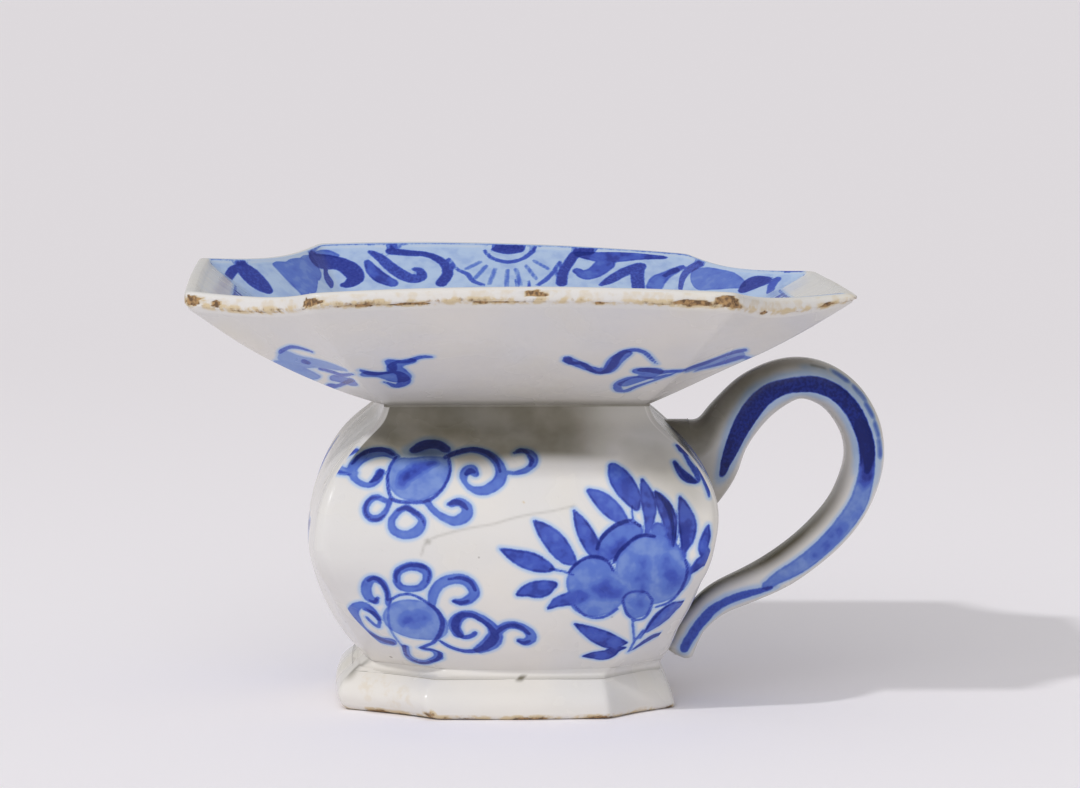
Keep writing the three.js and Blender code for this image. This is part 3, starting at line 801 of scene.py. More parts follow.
FRONT_MARKS: Motif = (
    # The first two strokes are painted shade on the shoulder beside the handle's root; then a hairline crack,
    # a dark spot at its end and a chip
    grime(0.5, (23.9, 25.7, 9.1), (29, 22.2, 14.2), (34, 16.8, 11.8), (37.8, 11.5, 5.8)),
    grime(0.3, (20.5, 26.8, 4.3), (26.4, 23.3, 10.3), (33.1, 14.3, 13.7), (37.7, 7.9, 4.3)),
    grime(0.3, (-21.1, -0.6, 0.4), (-19.8, 2.4, 0.4), (-15.3, 4.1, 0.4), (-10.6, 5.2, 0.4), (-5.8, 6, 0.4),
        (-2, 7.1, 0.4), (1.9, 8, 0.4), (7.1, 8.8, 0.4), (11.8, 9.9, 0.4)),
    grime(0.5, (-19.8, 2.4, 0.9), (-19.6, 2.2, 0.9)),
    wear(0.6, (0.9, 10.8, 0.7), (1.1, 10.6, 0.7)),
)
ROOT_SPRIG: Motif = (
    wash(0.72, (33.7, 20.6, 0.8), (34.9, 18.1, 1.7), (36.4, 16.3, 2.1), (38.1, 15.3, 0.9)),
    line(0.71, (34.1, 20, 0.5), (35.3, 17.6, 0.7), (37, 15.8, 1.2), (38.5, 15.3, 0.7)),
    line(0.69, (35.8, 23.7, 0.6), (36.8, 20.9, 1), (38.2, 18.1, 1.3), (38.8, 15.8, 0.9)),
    line(0.69, (38.8, 18.8, 0.7), (39.9, 16.7, 1.2), (40.8, 13.9, 1.1), (41.1, 11.8, 0.5)),
    line(0.66, (44.4, 13.2, 1.5), (45.8, 11.5, 1.6)),
    line(0.79, (34.4, 26, 0.6), (38.4, 23.2, 2.8), (55.8, 18.1, 2.7)),
)
# Under the basin: along each side from its middle, and up from the neck
UNDER_LEFT: Motif = (
    line(0.57, (-58.3, 30.1, 1.5), (-55.8, 31.2, 1.3), (-52.8, 30.9, 1.1), (-49, 29.8, 0.8)),
    wash(0.28, (-59.6, 26.8, 2.2), (-55.5, 23.5, 3.9), (-51.3, 20.2, 3.1), (-47.9, 18.2, 1.2)),
    wash(0.24, (-57.6, 28.7, 2.8), (-53, 25.1, 4.4), (-43.9, 24, 3.7), (-38.2, 24.3, 1.6)),
    line(0.64, (-52.2, 25.4, 1.4), (-50.8, 24.4, 1.4)),
    line(0.6, (-47.5, 21.6, 1.1), (-43.8, 20.6, 1.8), (-40.4, 19.9, 2), (-36, 23, 1)),
    wash(0.5, (-43.2, 17.2, 3.3), (-38.3, 16.2, 5.3)),
    line(0.6, (-45, 14.1, 1.6), (-41.8, 13.5, 1.5), (-37.1, 18.3, 2.3)),
    line(0.6, (-34.1, 25.3, 0.7), (-32.4, 23.5, 1.7), (-30.7, 22.7, 1.7), (-28.7, 22.9, 1.3),
        (-26.6, 23, 1.3), (-25.1, 20.7, 2.4), (-24.7, 17.3, 2.8), (-26.1, 15.2, 2.2), (-27.6, 16.6, 1.1),
        (-28.9, 18, 0.7)),
    line(0.57, (-27, 24.1, 1.6), (-27.5, 27.1, 2.2), (-28.1, 28.7, 1.6)),
    line(0.57, (-27.5, 28.6, 1.3), (-24.3, 27.6, 1.4), (-22.6, 28.8, 1.6), (-20.9, 29.5, 1.4),
        (-19, 29.3, 0.9)),
    wash(0.45, (-32.8, 23, 2.7), (-29.4, 21.9, 2.7), (-25.5, 19.7, 4.8), (-26.8, 26.1, 3.2),
        (-23.4, 27.9, 2.5)),
)
UNDER_RIGHT: Motif = (
    line(0.59, (9.9, 27.2, 1.9), (10.7, 24.7, 1.6), (12.8, 24.6, 1.3), (14.1, 23.1, 1.6), (15.5, 20.6, 1.3),
        (17.3, 19.5, 1.3), (18.9, 21.1, 1.7), (19.9, 24.2, 2), (20.6, 27.8, 1.9), (21.9, 30.3, 1.6),
        (24.2, 31.4, 1.6), (26.4, 30.1, 1.3), (28.1, 26.7, 1), (29.1, 24.7, 0.7)),
    wash(0.5, (10.2, 26.2, 2.6), (14.6, 22.1, 2.3), (18.5, 20.6, 2.7), (20.4, 26.3, 3.3), (22.4, 29.8, 2.6)),
    line(0.6, (26, 21.4, 2), (27.9, 21.4, 2.4), (30.1, 20.4, 2.1), (33.3, 21.2, 1.1)),
    line(0.53, (32, 18.8, 1.1), (28.6, 17, 1.1), (25.1, 17.5, 1), (23, 16.3, 1.4), (21.4, 13.5, 1.8),
        (21.6, 9.8, 1.7), (23.2, 9.1, 1.5), (25.2, 11.6, 1.1), (29.3, 15.8, 0.7), (32.8, 19.4, 0.7)),
    wash(0.45, (25.8, 20.8, 3.4), (29.3, 20.4, 3.1), (22.7, 13.4, 2.9)),
    line(0.57, (32.7, 21.1, 1.4), (38, 21.2, 2.4), (43.5, 21.8, 2.5), (48.1, 24.1, 1.3), (52.4, 26.5, 1.5),
        (55.2, 27.7, 1.3)),
    line(0.45, (41.1, 17.6, 1), (46.3, 19.5, 1.1), (50.7, 22.3, 1.2), (54.4, 24.9, 1), (57.9, 25.3, 1.4),
        (59.9, 26.3, 1.1)),
    wash(0.3, (38.3, 20.3, 4.1), (46.9, 21.5, 3.7), (53.9, 25.8, 2.6)),
)
# In the dish: along each side from its middle, and down from the lip
INSIDE_LEFT: Motif = (
    line(0.74, (71.5, 3.7, 2.5), (73.7, 5, 2.9), (74.6, 7.5, 2.9), (75.7, 10.1, 3.4), (74.8, 13.1, 3.5)),
    line(0.74, (72, 4.1, 2.8), (70.2, 5.9, 4.4), (67.7, 8.8, 4.9), (65.3, 11.4, 4), (63.7, 12.9, 2.4)),
    wash(0.4, (62.1, 3, 2.4), (57.9, 6.3, 4.5), (54.1, 10.5, 4.5), (52.8, 12.9, 3.2)),
    wash(0.4, (57.7, 2.5, 2.6), (53.5, 5.9, 5.4), (50.2, 10.2, 4.8), (49.9, 13, 2.7)),
    wash(0.4, (52.9, 2.5, 2.4), (49.6, 5.7, 4.6), (47, 9.8, 2.9)),
    line(0.78, (48.6, 3.6, 2.2), (46.2, 5.5, 3.8), (42.1, 7.4, 4.6), (38.8, 8.5, 4.4), (36.2, 10.8, 4.7),
        (35.2, 13.7, 4.1), (36.7, 15.9, 2.7), (38.1, 16.2, 1.5)),
    wash(0.46, (46, 3.4, 1.9), (42.2, 4.4, 2.1), (39.7, 5.6, 1.4)),
    line(0.72, (43.2, 9, 1.5), (43.5, 11.4, 2.3), (42, 14.5, 2.3)),
    wash(0.66, (32.4, 8, 1.5), (31, 11.3, 3.2), (29.1, 13.9, 3.5), (26.5, 15.8, 2.7)),
    line(0.7, (31.7, 4.5, 1.2), (29.6, 6.3, 2.3), (27.4, 9.2, 2.9), (25.6, 11.4, 3.2), (23.7, 13.2, 3.2),
        (21.6, 14.3, 2.9), (19.7, 13.6, 2.6), (19.9, 11.4, 2), (21.3, 10.7, 1.2)),
)
INSIDE_MIDDLE: Motif = (
    line(0.76, (26.9, 4.3, 2.3), (22.9, 5, 2), (18.9, 5.4, 1.7), (16.1, 6.8, 2), (14, 9.2, 2.3),
        (13.5, 12.5, 2.6), (15, 15.8, 2.7)),
    line(0.76, (1.8, 3.3, 2.1), (-1.1, 3.6, 2.9), (-3.9, 3.1, 2.1)),
    line(0.64, (4.6, 4.1, 0.9), (2.8, 6.6, 1), (-0.7, 7.9, 1.2), (-4.3, 6.6, 1), (-7, 3.6, 1.2)),
    line(0.6, (13, 7.1, 0.7), (11.2, 10.7, 0.9), (8.8, 12.5, 1.2), (7.5, 15, 1.2), (5.1, 16.5, 0.9)),
    line(0.6, (-13.1, 7.3, 0.7), (-11.5, 11.1, 0.9), (-9.8, 13.9, 1.2), (-7.8, 16.2, 0.9)),
    wash(0.34, (5.7, 8, 0.9), (9, 10.6, 0.9)),
    wash(0.34, (4.3, 9.5, 0.9), (7.2, 14.3, 0.9)),
    wash(0.36, (2.2, 10.5, 0.9), (3.7, 16.1, 0.9)),
    wash(0.4, (-0.7, 10.8, 0.9), (-0.3, 16.8, 0.9)),
    wash(0.38, (-2.8, 10.4, 0.9), (-3.6, 16.3, 0.9)),
    wash(0.36, (-5.2, 9.2, 0.9), (-7.4, 13.9, 0.9)),
    wash(0.34, (-7.1, 7.2, 0.9), (-10.4, 10, 0.9)),
    line(0.6, (-2.7, 14.5, 0.7), (-2.9, 17.1, 0.7)),
    line(0.6, (-5.5, 14.8, 0.7), (-5.7, 17, 0.7)),
)
INSIDE_RIGHT: Motif = (
    line(0.76, (-20.6, 3.1, 1.9), (-17.2, 4.1, 2.4), (-15.5, 7.2, 2.4), (-13.9, 11, 2.4), (-13.3, 15.2, 2.7)),
    wash(0.66, (-17.7, 4.1, 2), (-20.5, 4.6, 3), (-23.9, 4.7, 4.2), (-27.7, 3.9, 4.3), (-32.5, 3.1, 3.6),
        (-37.8, 2.8, 2.7)),
    wash(0.62, (-17.2, 10.4, 2.1), (-19.1, 11.8, 3.3), (-21.5, 10.5, 3.9), (-24, 7.3, 4.5)),
    line(0.72, (-22.5, 15.6, 0.9), (-24.9, 13.5, 2.5), (-27.4, 11, 2.8), (-30.1, 8.8, 2.8),
        (-32.5, 7.4, 2.5)),
    line(0.72, (-31.8, 7.9, 3.1), (-31.4, 11.9, 3.1), (-31.4, 16, 3.1)),
    wash(0.48, (-35.2, 15.8, 3.8), (-36.3, 12.8, 3.8), (-38.3, 10.5, 2.5), (-40.8, 8.1, 1.9)),
    line(0.66, (-37.8, 11, 1.1), (-40.6, 8.2, 1.6), (-42.8, 6.4, 1.4)),
    line(0.68, (-42.8, 14, 1.9), (-43, 10.7, 2.3), (-44.6, 7.2, 2.3), (-47.7, 4.3, 2.3), (-50.9, 2.5, 1.2)),
    wash(0.42, (-49.9, 8.1, 7.3), (-55.3, 6.6, 7.7), (-60.1, 6.2, 6.9), (-62.3, 7.2, 4.9)),
    soft(0.2, (-49.6, 8.5, 5.8), (-52.6, 7.6, 5.7)),
    line(0.8, (-63, 11.1, 2.2), (-65.7, 8.1, 4.4), (-68.4, 6.2, 4.7), (-70.7, 5.3, 2.5)),
    line(0.6, (-69.9, 13.2, 1.8), (-71.3, 8.6, 1.9), (-73.6, 4.9, 1.5)),
    line(0.45, (-75.9, 2.1, 1.2), (-78.5, 1.6, 1.5)),
    soft(0.16, (-78.5, 10, 6.7), (-81.8, 7.7, 6.7)),
)
# On the handle: along its path from the root, and round from the middle of its side face
HANDLE_BAND: Motif = (
    line(0.95, (15.4, -3.9, 2.1), (17.5, -2.7, 3.4), (21.6, -2.2, 4.8), (25.7, -1.4, 5.2), (29.7, -0.7, 4.8),
        (33.6, -0.3, 4.1), (37.5, -0.6, 3.4), (41.3, -1, 3.6), (45, -0.5, 3.7), (48.6, -0.2, 3.6),
        (52.2, 0, 3.6), (56.2, 0, 3.6), (60.5, -0.1, 3.6), (64.5, 0.2, 3.4), (67.4, 0.4, 2.4),
        (69.8, 0.5, 1.3)),
    soft(0.36, (15.4, -3.9, 3.2), (18.1, -2.5, 5.1), (22.7, -2, 6.5), (27.8, -0.7, 6.3), (31.9, -0.3, 5.7),
        (37.7, -0.7, 4.8), (44.3, -0.7, 4.9), (49.5, 0.1, 4.9), (54.4, 0.1, 4.9), (59.7, -0.3, 5),
        (65.1, -0.1, 5), (69.6, 0.3, 4.5)),
    wash(0.76, (59.3, -0.1, 2.9), (64.2, 0, 3.4), (68.7, 0.3, 3.3), (72.2, 0.7, 2.7)),
    wash(0.36, (68.7, 0.3, 3.6), (73.1, 0.8, 4), (77.4, 1.3, 4.5), (82.3, 1.2, 4.5), (88.5, 1.3, 4.1),
        (95, 1.3, 3.9), (100.8, 0.8, 2.9), (104.4, 1.2, 2)),
    wash(0.56, (82.8, 1.6, 1.8), (85.3, 1.1, 3.2), (88.8, 1.3, 3.4), (91.6, 1.5, 2.1)),
    line(0.6, (103.8, 2.1, 1), (107.9, 1.3, 1.5), (111.1, 0.9, 1.7), (114.8, 0.7, 1.7), (118.2, 0.6, 2.1),
        (120.6, 0.9, 2.4), (124.1, 0.9, 2.2), (127, 0.6, 2.1), (128.8, 0.6, 2)),
    soft(0.34, (103, 2.3, 2), (107.9, 1.3, 2.6), (112.5, 0.8, 2.8), (118, 0.8, 3.1), (121.1, 1.1, 3.1),
        (125.1, 0.9, 3), (128.8, 0.6, 2.7)),
)
HANDLE_DASHES: Motif = (
    soft(0.13, (42.6, 3, 3), (47.3, 2.6, 3.6), (52.1, 2.4, 3.6), (57.3, 2.2, 3.6), (62.5, 2.2, 3.4),
        (66.9, 2.8, 3.2), (71.3, 3.5, 3.5)),
    grime(0.8, (43.6, 4, 1.9), (45.8, 4.1, 1.7)),
    soft(0.55, (48, 4.3, 1.8), (50.2, 4.2, 1.8)),
    soft(0.55, (52.6, 4.1, 1.8), (54.8, 4.2, 2)),
    soft(0.55, (56.3, 3.5, 1.6), (58.6, 3.7, 1.7)),
    soft(0.55, (60.5, 3.4, 1.6), (62.5, 3.4, 1.6)),
    soft(0.6, (64, 3.3, 1.8), (66.2, 3.5, 1.9)),
    grime(0.9, (116.2, -13.3, 4.5), (114.4, -10.7, 4.1), (112.4, -8.3, 2.8)),
)


# Clay forms


@dataclass(frozen=True)
class Basin:
    """The notched square basin: one ring of a profile, from the neck out to the lip and back to the throat.

    Args:
        size: the pot's measures.
        plan: the grid's columns.
        rows: grid rows under the basin, round the lip, in the dish and down the throat.
        softness: passes that round the arrises of the plan.
        unevenness: how far the clay is pressed in here and there, in millimetres.
        right_reach: how far the rim is drawn out at the right.
        right_wedge: how far the lip's lower face rises there.
        wedge_run: where the rise starts and how long it is, in rim half-widths, and the y it fades out at.
    """

    size: ClaySizes = SIZES
    plan: Plan = Plan(side=96, corner=52)
    rows: tuple[int, int, int, int] = (62, 20, 56, 14)
    softness: int = 3
    unevenness: float = 0.32
    right_reach: float = 1.1
    right_wedge: float = 2.4
    wedge_run: tuple[float, float, float] = (0.72, 0.29, 40.0)

    # The lip's section, half-width and height, from its lower arris over the edge to the dish
    LIP = ((71.4, 93.65), (71.75, 93.95), (71.93, 94.3), (72.0, 94.8), (72.0, 95.9), (71.9, 96.4),
           (71.6, 96.8), (71.2, 96.97), (70.8, 97.0), (70.2, 96.93), (69.6, 96.75))
    # Points that each slope is worked out at; the half-widths where the dish starts within the lip, and where
    # its painted part ends, whose rows stand twice as close
    SAMPLES, DISH_HALF, PAINTED_HALF = 60, 68.8, 54.0
    # How far the seat stays clear of the walls, and the underside's rows that the lip's wear takes in
    CLEAR, LIP_MARGIN = 0.05, 4

    @property
    def under_rows(self) -> slice:
        """The rows of the underside."""
        return slice(0, self.rows[0])

    @property
    def dish_rows(self) -> slice:
        """The rows of the inside, from just within the lip to the throat."""
        return slice(self.rows[0] + self.rows[1] - 8, sum(self.rows[:3]))

    def underside(self, half: Array) -> Array:
        """Height of the underside at each half-width: a slope that steepens towards the lip.

        With t running from 0 at the neck to 1 at the rim, it rises with 0.62 t + 0.38 t^2.

        Args:
            half: the half-widths.

        Returns:
            The heights.
        """
        z = self.size
        t = (half - z.neck_half) / (z.rim_half - z.neck_half)
        rise = z.rim_height - z.lip_height - z.neck_height
        return z.neck_height + rise * (z.flare_start * t + (1 - z.flare_start) * t * t)

    def profile(self) -> Array:
        """One section: underside, lip, dish, a quarter circle into the throat and the seat on the neck.

        Returns:
            Rows of half-width and height.
        """
        z, many = self.size, self.SAMPLES
        under = np.linspace(z.neck_half, z.rim_half - 1.0, many)
        inner = np.linspace(self.DISH_HALF, z.neck_half - z.wall + z.throat_round, many)
        dish = self.underside(inner) + z.wall
        turn = np.linspace(0.15, 1.0, 8) * math.pi / 2
        throat_half = z.neck_half - z.wall
        bend = np.stack([throat_half + z.throat_round * (1 - np.sin(turn)),
                         dish[-1] - 0.5 - z.throat_round * (1 - np.cos(turn))], axis=1)
        wall = np.array([[throat_half, z.neck_height + 2.0], [throat_half, z.neck_height]])
        parts = (np.c_[under, self.underside(under), np.ones(many)],
                 np.c_[np.array(self.LIP), np.ones(len(self.LIP))],
                 np.c_[inner, dish, np.where(inner > self.PAINTED_HALF, 1.5, 0.75)],
                 np.c_[np.r_[bend, wall], np.ones(len(bend) + len(wall))])
        seat = [[throat_half + self.CLEAR, z.neck_height], [z.neck_half - self.CLEAR, z.neck_height]]
        return np.concatenate([*(spaced(part, count) for part, count in zip(parts, self.rows)), seat])

    def slump(self, x: Array, y: Array, half: Array, flare: Array, hollow: Array) -> Array:
        """How far the fired rim has sunk at each point.

        It sinks with the square of the flare: most at the left and right, less at the notches and along a
        twist, and the right flank sags halfway out.

        Args:
            x, y, half: the points, and the half-width at each.
            flare: how far out each is, from 0 at the neck to 1 at the rim.
            hollow: how far into a notch each is, from 0 to 1.

        Returns:
            The drops in millimetres.
        """
        z, u, v = self.size, x / half, y / half
        rim = z.side_drop * u * u + z.right_drop * u + z.twist_drop * u * v + z.corner_dip * hollow
        return flare * flare * rim - z.flank_sag * u * np.sin(np.pi * flare)

    def wedge(self, grid: Array, height: Array) -> Array:
        """How far the lip's lower face rises at each point, as the lip thins to a wedge at the right.

        The rise grows with the 1.6th power of the way there, and fades out towards the back.

        Args:
            grid: the basin's points.
            height: each row's height before the slump.

        Returns:
            The rises in millimetres.
        """
        z, (start, run, fade) = self.size, self.wedge_run
        outside = np.arange(len(height)) < sum(self.rows[:2])
        low = np.clip((z.rim_height - height) / z.lip_height, 0, 1) * outside
        taper = np.clip((grid[..., 0] / z.rim_half - start) / run, 0, 1) ** 1.6
        return self.right_wedge * low[:, None] * taper * (1 - smooth_step(0.0, fade, grid[..., 1]))

    def points(self) -> Array:
        """The grid: the profile carried round the plan, slumped, softened, pressed in a little and chipped.

        Returns:
            Rows by columns by 3, in millimetres.
        """
        z = self.size
        half, height = self.profile().T
        flare = np.clip((half - z.neck_half) / (z.rim_half - z.neck_half), 0, 1)
        x, y, hollow = self.plan.outline(half, mix(z.neck_cut, z.rim_cut, flare),
                                         mix(z.neck_bow, z.rim_bow, flare), z.rim_scoop * flare)
        drop = self.slump(x, y, half[:, None], flare[:, None], hollow)
        x = x + self.right_reach * (flare**2)[:, None] * np.clip(x / half[:, None], 0, 1) ** 3
        grid = soften(np.stack([x, y, height[:, None] - drop], axis=2), self.softness, axis=1)
        grid[..., 2] += self.wedge(grid, height)
        pressed = self.unevenness * (0.5 + waver(grid, 0.5, 60, 11))
        grid -= normals_of(grid, True) * (pressed * np.sin(np.pi * flare)[:, None] ** 0.5)[..., None]
        rows, _, depth = self.chips(grid)
        grid[rows] -= normals_of(grid, True)[rows] * depth[..., None]
        return grid

    def chips(self, grid: Array) -> tuple[slice, Array, Array]:
        """Where small chips have been knocked out of the lip, each with a ragged edge.

        Args:
            grid: the basin's points.

        Returns:
            The lip's rows, how much of each chip is at each point from 0 to 1, and its depth.
        """
        rows = slice(self.rows[0] - self.LIP_MARGIN, self.rows[0] + self.rows[1])
        along = ring_measure(grid, Side.FRONT, self.plan)[rows]
        up = rise_measure(grid[rows], self.LIP_MARGIN)
        share, depth = np.zeros(along.shape), np.zeros(along.shape)
        for number, (place, width, level, tall, deep) in enumerate(LIP_CHIPS):
            ragged = waver(grid[rows], 0.45, 2.6, number + 3)
            away = np.hypot((along - place) / width, (up - level) / tall) + ragged
            here = 1 - smooth_step(0.7, 1.05, away)
            share = np.maximum(share, here)
            depth = np.maximum(depth, deep * here)
        return rows, share, depth

    def surface(self) -> Surface:
        """The clay as a surface, its UV height shared out by length.

        Returns:
            The surface.
        """
        points = self.points()
        share = np.linalg.norm(np.roll(points, -1, axis=0) - points, axis=2).mean(axis=1)
        return Surface(points, True, 2, 2, share)


# Place along the front's ring, half-width, height above the lip's lower edge, half-height and depth
LIP_CHIPS: tuple[tuple[float, float, float, float, float], ...] = (
    (-82.0, 2.8, 1.7, 1.2, 0.35), (-76.0, 1.2, 1.5, 0.9, 0.3), (-45.0, 3.4, 1.7, 1.2, 0.35),
    (-34.0, 2.2, 0.1, 0.5, 0.25), (-23.5, 4.6, -0.1, 0.55, 0.3), (-9.0, 1.2, 0.1, 0.5, 0.2),
    (2.2, 2.6, 2.2, 0.9, 0.3), (16.0, 1.5, 0.0, 0.5, 0.2), (36.0, 4.4, 0.8, 0.9, 0.3),
    (43.5, 3.8, 1.2, 1.5, 0.4), (58.0, 1.2, 0.2, 0.6, 0.25), (77.0, 1.6, 0.4, 0.8, 0.3),
    (87.0, 1.8, 0.3, 0.9, 0.2), (118.0, 2.2, 1.6, 1.0, 0.35), (150.0, 1.5, 0.4, 0.8, 0.3),
    (190.0, 3.0, 0.2, 0.8, 0.35), (-125.0, 2.0, 1.8, 0.9, 0.3), (-160.0, 2.6, 0.2, 0.7, 0.3),
    (-205.0, 1.6, 0.8, 0.9, 0.35))
# How far the foot's front left arris is drawn, and the places along x, in half-widths, where the drawing
# starts, is whole and ends
ARRIS_PULL = 4.6
ARRIS_SPAN = (-1.0, -0.58, 0.3)


def pull_arris(grid: Array, half: Array, share: Array | float) -> None:
    """Draws the front left arris of the foot's octagon towards the middle, as the potter's cut left it.

    Each point slides along x by the pull times a tent that is 1 on the arris and 0 at the left side and past
    the middle of the front.

    Args:
        grid: the points, which are moved.
        half: the half-width at each level.
        share: how much of the pull each level takes.
    """
    tent = np.interp(grid[..., 0] / half, ARRIS_SPAN, (0.0, 1.0, 0.0)) * (grid[..., 1] < 0)
    grid[..., 0] += ARRIS_PULL * tent * share


@dataclass(frozen=True)
class BodyShape:
    """The square globular body and its two halves.

    Args:
        size: the pot's measures.
        plan: the grid's columns.
        softness: passes that round the arrises.
        unevenness: how far the walls waver, in millimetres.
        lower_squareness, upper_squareness: powers of the superellipses below the belly and above it.
        inner_rows: rows of the inside.
        joint_band: how close to the belly's joint a point keeps its height.
        dent_depth, dent_heights: how far the handle's side is flattened, and between which heights.
        eased_heights, easing: where the kink under the collar is rounded, and in how many passes.
        pull_heights: where the pull of the foot's arris starts to fade and is gone.
    """

    size: ClaySizes = SIZES
    plan: Plan = Plan(side=170, corner=12)
    softness: int = 9
    unevenness: float = 0.22
    lower_squareness: float = 2.0
    upper_squareness: float = 2.1
    inner_rows: int = 26
    joint_band: float = 0.05
    dent_depth: float = 2.5
    dent_heights: Span = (10.0, 19.0, 33.0, 50.0)
    eased_heights: Span = (57.0, 61.0, 66.6, 67.6)
    easing: int = 40
    pull_heights: tuple[float, float] = (10.0, 26.0)

    # How far a half's closing row stands in from the end of its outside
    STEP_IN = (0.06, 0.0)

    def half(self, height: Array) -> Array:
        """Half-width at each height: a superellipse below the belly, one above it, then the collar.

        Args:
            height: the heights.

        Returns:
            The half-widths.
        """
        z = self.size
        collar = z.neck_height - z.collar_height

        def swell(distance: Array, span: float, end: float, n: float) -> Array:
            """z.belly (1 - (distance / reach)^n)^(1/n), with reach set so it is the end value at span."""
            reach = span / (1 - (end / z.belly_half) ** n) ** (1 / n)
            return z.belly_half * (1 - np.clip(distance / reach, 0, 1) ** n) ** (1 / n)

        lower = swell(z.belly_height - height, z.belly_height - z.foot_height, z.foot_top_half,
                      self.lower_squareness)
        upper = swell(height - z.belly_height, collar - z.belly_height, z.collar_half, self.upper_squareness)
        neck = mix(z.collar_half, z.neck_half, (height - collar) / z.collar_height)
        return np.where(height < z.belly_height, lower, np.where(height < collar, upper, neck))

    def carry(self, half: Array, height: Array) -> Array:
        """The outline at each level, its cut and bow running from the foot's to the belly's to the neck's.

        Args:
            half, height: one value a level.

        Returns:
            Rows by columns by 3, in millimetres.
        """
        z = self.size
        up = np.clip((height - z.belly_height) / (z.neck_height - z.belly_height), 0, 1)
        down = np.clip((z.belly_height - height) / (z.belly_height - z.foot_height), 0, 1)
        cut = np.where(height >= z.belly_height, mix(z.belly_cut, z.neck_cut, up),
                       mix(z.belly_cut, z.foot_top_cut, down))
        bow = np.where(height >= z.belly_height, mix(z.belly_bow, z.neck_bow, up),
                       z.belly_bow + z.under_round * np.sin(np.pi * down) * smooth_step(0.0, 0.4, down))
        share = np.clip(half / self.half(np.clip(height, z.foot_height, z.neck_height)), 0, 1)
        x, y, _ = self.plan.outline(half, cut * share, bow * share, np.zeros(len(half)))
        return np.stack([x, y, np.broadcast_to(height[:, None], x.shape)], axis=2)

    def pull(self, grid: Array, height: Array) -> None:
        """Draws the foot's arris in over the body's lower end, fading with the height."""
        pull_arris(grid, self.half(height), 1 - smooth_step(*self.pull_heights, height))

    def glazed(self, grid: Array, outer: slice) -> Array:
        """Softens the arrises, flattens the handle's side a little and lays the glaze on the outer rows.

        Each point of the outside moves out by the glaze and the unevenness, which fades 6 mm from its ends.

        Args:
            grid: the bare form.
            outer: the rows of its outside.

        Returns:
            The glazed grid.
        """
        grid = soften(grid, self.softness, axis=1)
        z, height = self.size, grid[..., 2]
        share = np.clip(grid[..., 0] / self.half(height), 0, 1) ** 2
        grid[..., 0] -= self.dent_depth * share * window(self.dent_heights, height)
        self.pull(grid, height)
        skin = grid[outer]
        ease(skin, window(self.eased_heights, skin[..., 2]), self.easing)
        fade = np.clip(np.minimum(skin[..., 2] - z.foot_height, z.neck_height - skin[..., 2]) / 6, 0, 1)
        push = z.glaze + waver(skin, self.unevenness, 44, 3) * fade
        moved = skin + normals_of(skin, False) * push[..., None]
        joint = np.abs(skin[..., 2] - z.belly_height) < self.joint_band
        moved[..., 2] = np.where((fade == 0) | joint, skin[..., 2], moved[..., 2])
        grid[outer] = moved
        return grid

    def run(self, low: float, high: float, count: int) -> Array:
        """Points evenly spaced up the outside, with a close pair at each end.

        Args:
            low, high: the heights it starts and ends at.
            count: points wanted.

        Returns:
            Rows of half-width and height.
        """
        bend = np.cos(np.linspace(np.pi, 0, 160)) / 2 + 0.5
        height = low + (high - low) * bend
        even = spaced(np.c_[self.half(height), height, np.ones(160)], count - 2)
        ends = [mix(even[0], even[1], 0.06), mix(even[-1], even[-2], 0.06)]
        return np.concatenate([even[:1], ends[:1], even[1:-1], ends[1:], even[-1:]])


@dataclass(frozen=True)
class Shoulder(BodyShape):
    """The upper half of the body, from the belly to the neck: a ring, hollow inside."""

    outer_rows: int = 84

    @property
    def skin(self) -> slice:
        """The rows of the outside."""
        return slice(1, 1 + self.outer_rows)

    def surface(self) -> Surface:
        """The ring's grid: up the outside, over the neck's seat, down the inside and along the joint.

        Returns:
            The surface.
        """
        z = self.size
        outer = self.run(z.belly_height, z.neck_height, self.outer_rows)
        inner = self.run(z.belly_height + 0.6, z.neck_height, self.inner_rows)[::-1] - [z.wall, 0]
        profile = np.concatenate([[outer[0] - self.STEP_IN], outer, [outer[-1] - self.STEP_IN], inner])
        grid = self.carry(*profile.T)
        return Surface(self.glazed(grid, self.skin), True, 1, 4,
                       np.r_[0.01, np.full(self.outer_rows, 1.0), 0.5, np.full(self.inner_rows, 0.7)])


@dataclass(frozen=True)
class Bowl(BodyShape):
    """The lower half of the body, from the foot's seat to the belly, closed by its floor."""

    outer_rows: int = 78
    floor_rows: int = 12

    @property
    def skin(self) -> slice:
        """The rows of the outside."""
        return slice(self.floor_rows, self.floor_rows + self.outer_rows)

    def surface(self) -> Surface:
        """The bowl's grid, from the middle of its underside out, up, over the joint and down to the floor.

        Returns:
            The surface.
        """
        z, flat = self.size, self.floor_rows
        base = np.c_[np.linspace(0.5, z.foot_top_half - 0.6, flat), np.full(flat, z.foot_height)]
        outer = self.run(z.foot_height, z.belly_height, self.outer_rows)
        inner = self.run(z.floor_height, z.belly_height - 0.3, self.inner_rows)[::-1] - [z.wall, 0]
        floor = np.c_[np.linspace(inner[-1, 0] - 1.0, 0.5, flat), np.full(flat, z.floor_height)]
        profile = np.concatenate([base, outer, [outer[-1] - self.STEP_IN], inner, floor])
        grid = self.carry(*profile.T)
        share = np.r_[np.full(flat, 0.7), np.ones(self.outer_rows), 0.3, np.full(self.inner_rows + flat, 0.7)]
        return Surface(self.glazed(grid, self.skin), False, 1, 4, share)


